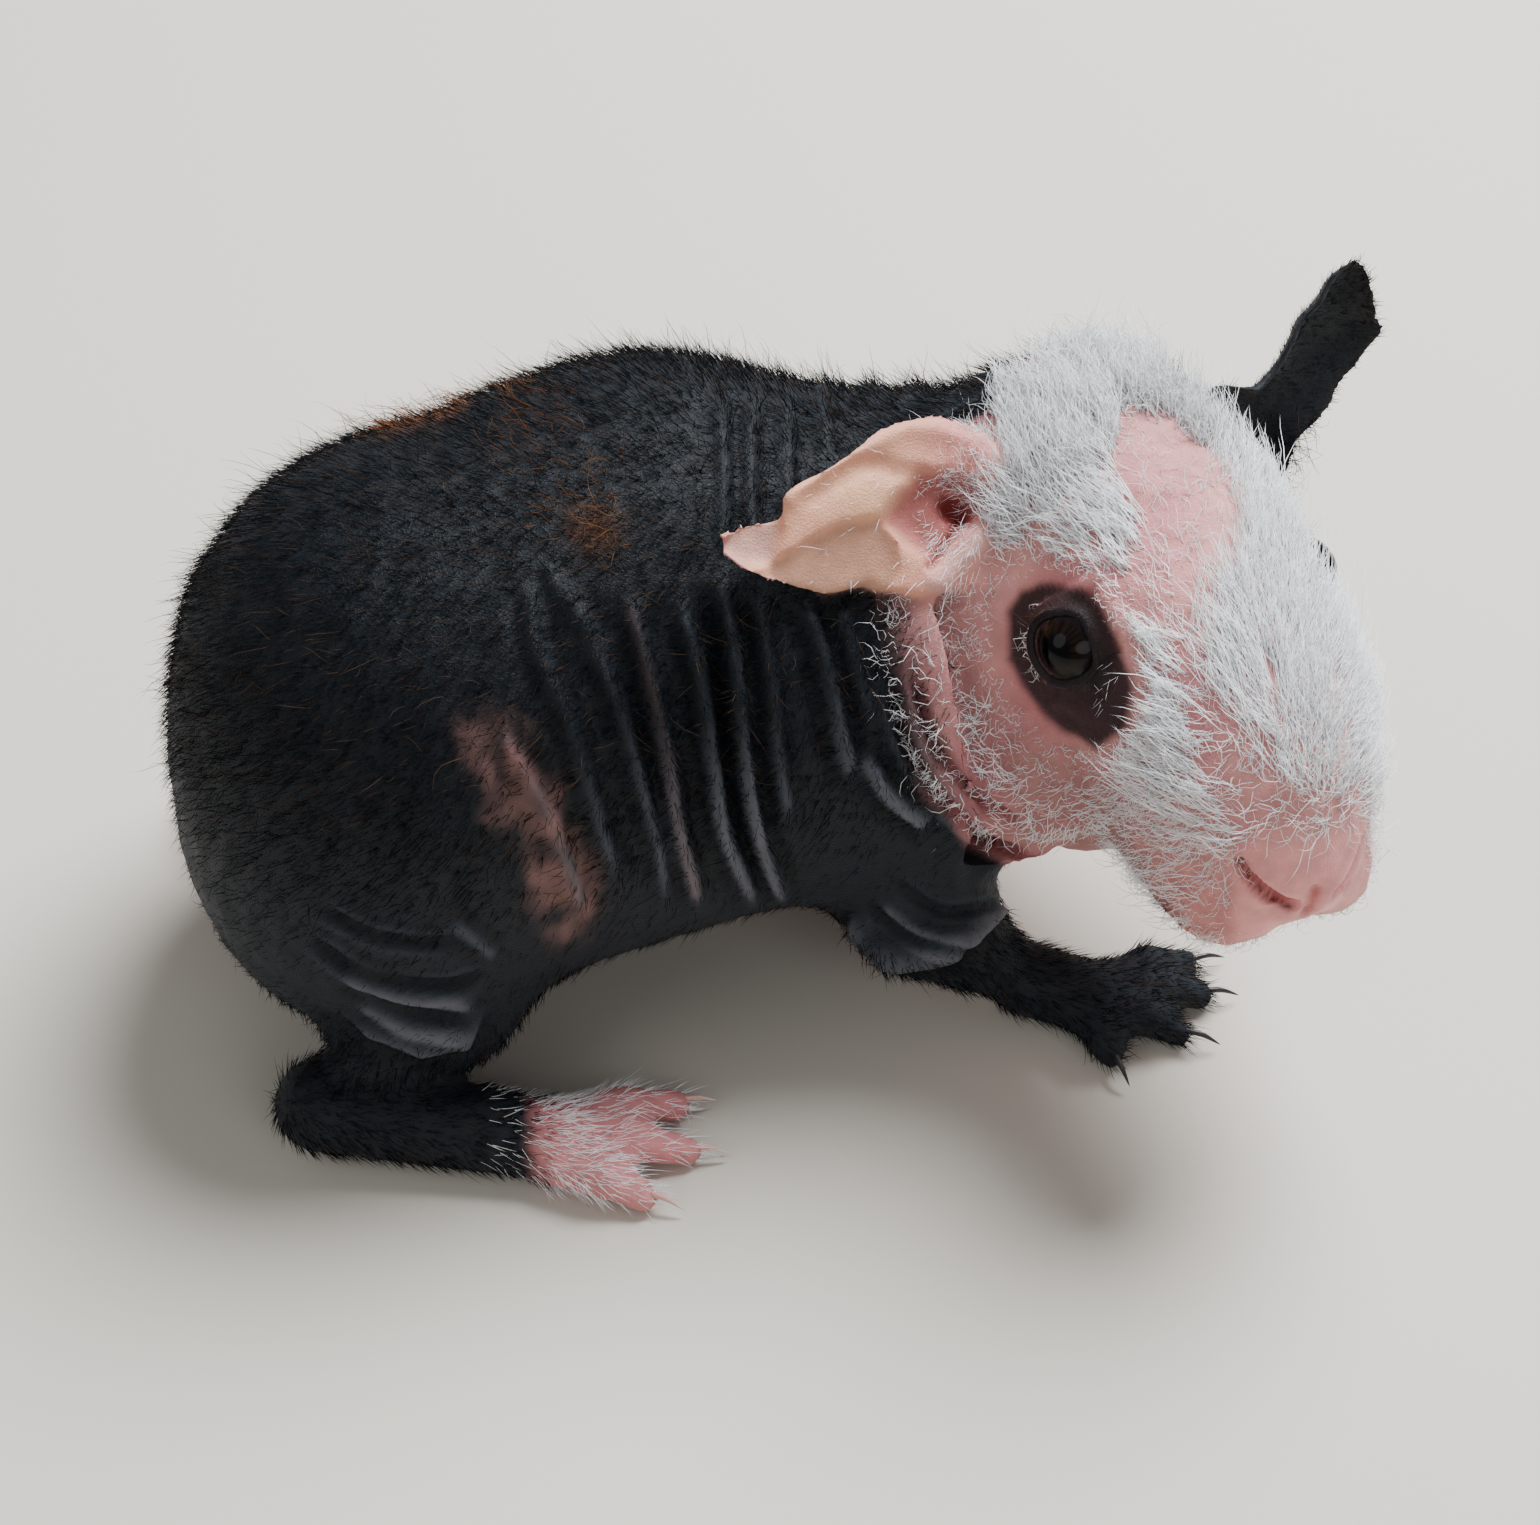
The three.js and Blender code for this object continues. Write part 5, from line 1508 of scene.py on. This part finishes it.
def claw(name):
    start, end, axis, radius = claw_shape(name)
    rings, sides = 12, 12
    across = unit(np.cross(axis, [0, 0, 1.0])[None])[0]
    above = np.cross(across, axis)
    p = []
    for r in range(rings):
        s = r / rings
        centre = start + (end - start) * s + above * 0.55 * math.sin(math.pi * s) ** 1.2
        size = radius * (1 - s**1.6) ** 0.7
        for k in range(sides):
            a = 2 * math.pi * k / sides
            flat_below = 0.75 if math.sin(a) < 0 else 1.0
            p.append(centre + size * (0.82 * math.cos(a) * across + flat_below * math.sin(a) * above))
    p += [end, start]
    triangles = []
    for r in range(rings - 1):
        for k in range(sides):
            a, b = r * sides + k, r * sides + (k + 1) % sides
            triangles += [(a, b, b + sides), (a, b + sides, a + sides)]
    tip, root = len(p) - 2, len(p) - 1
    last = (rings - 1) * sides
    triangles += [(last + k, last + (k + 1) % sides, tip) for k in range(sides)]
    triangles += [((k + 1) % sides, k, root) for k in range(sides)]
    p = np.array(p)
    p[:, 2] = np.maximum(p[:, 2], 0.12)
    mesh = mesh_from_triangles(name + "_horn", to_scene(p), np.array(triangles))
    dark = name.startswith("claw_fore_right")
    s = np.clip(((p - start) @ axis) / np.linalg.norm(end - start), 0, 1)
    pale = blend(np.tile(QUICK_RED, (len(p), 1)), HORN, step(0.4, 0.9, s))
    paint(mesh, "tint", np.tile(DARK_HORN, (len(p), 1)) if dark else pale)
    mesh.materials.append(claw_material)
    piece = add_object(name + "_horn", mesh)
    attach(piece, "root")
    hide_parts(name)


claw_material, tree, shader, made = grained_material("claw_horn", 0.25)
rough = node(tree, "ShaderNodeMapRange", {"Value": made["Mask"], "To Min": 0.28, "To Max": 0.42})
tree.links.new(rough.outputs[0], shader.inputs["Roughness"])
bump = node(tree, "ShaderNodeBump", {"Strength": 0.3, "Distance": 0.00008, "Height": made["Height"]})
tree.links.new(bump.outputs[0], shader.inputs["Normal"])
claws = [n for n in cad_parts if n.startswith("claw")]
for name in claws:
    claw(name)
print("claws:", len(claws))

# %% [markdown]
# ## Floor, light and the end
#
# A plain pale floor, one large soft light from above and behind the head, as daylight from a window
# would fall, and two weaker ones to open the shadows.

# %% Studio
bpy.data.objects.remove(chart_skin)
floor = mesh_object("floor", [(-1.5, -1.5, 0), (1.5, -1.5, 0), (1.5, 1.5, 0), (-1.5, 1.5, 0)], [(0, 1, 2, 3)])
floor_material, tree, shader = new_material("pale_floor")
patches = node(tree, "ShaderNodeTexNoise", {"Scale": 9.0, "Detail": 3.0}).outputs[0]
pales = {0: patches, 6: (0.60, 0.56, 0.49, 1), 7: (0.66, 0.62, 0.55, 1)}
mixed = node(tree, "ShaderNodeMix", pales, data_type="RGBA")
tree.links.new(mixed.outputs[2], shader.inputs["Base Color"])
set_inputs(shader, {"Roughness": 0.8})
floor.data.materials.append(floor_material)
floor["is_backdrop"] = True


def soft_light(name, at, size, power, colour):
    lamp = add_object(name, bpy.data.lights.new(name, "AREA"))
    lamp.data.shape = "DISK"
    lamp.data.size = size
    lamp.data.energy = power
    lamp.data.color = colour
    lamp.location = at
    lamp.rotation_euler = (Vector((0, 0, 0.03)) - Vector(at)).to_track_quat("-Z", "Y").to_euler()


soft_light("window", (0.25, 0.30, 0.66), 0.50, 17.0, (0.94, 0.97, 1.0))
soft_light("room", (-0.55, -0.35, 0.55), 0.6, 1.4, (1.0, 0.97, 0.94))
soft_light("front", (0.30, -0.65, 0.40), 0.5, 1.2, (1.0, 0.98, 0.96))
world = bpy.data.worlds.new("room_light")
bpy.context.scene.world = world
world.use_nodes = True
world.node_tree.nodes["Background"].inputs[0].default_value = (0.92, 0.95, 1.0, 1)
world.node_tree.nodes["Background"].inputs[1].default_value = 0.22

visual_box = [list(map(float, corner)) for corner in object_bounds()]
growth = [round(1000 * (v - c), 1) for c, v in zip(cad_box[0] + cad_box[1], visual_box[0] + visual_box[1])]
print("the model beyond the solids, in mm:", growth)
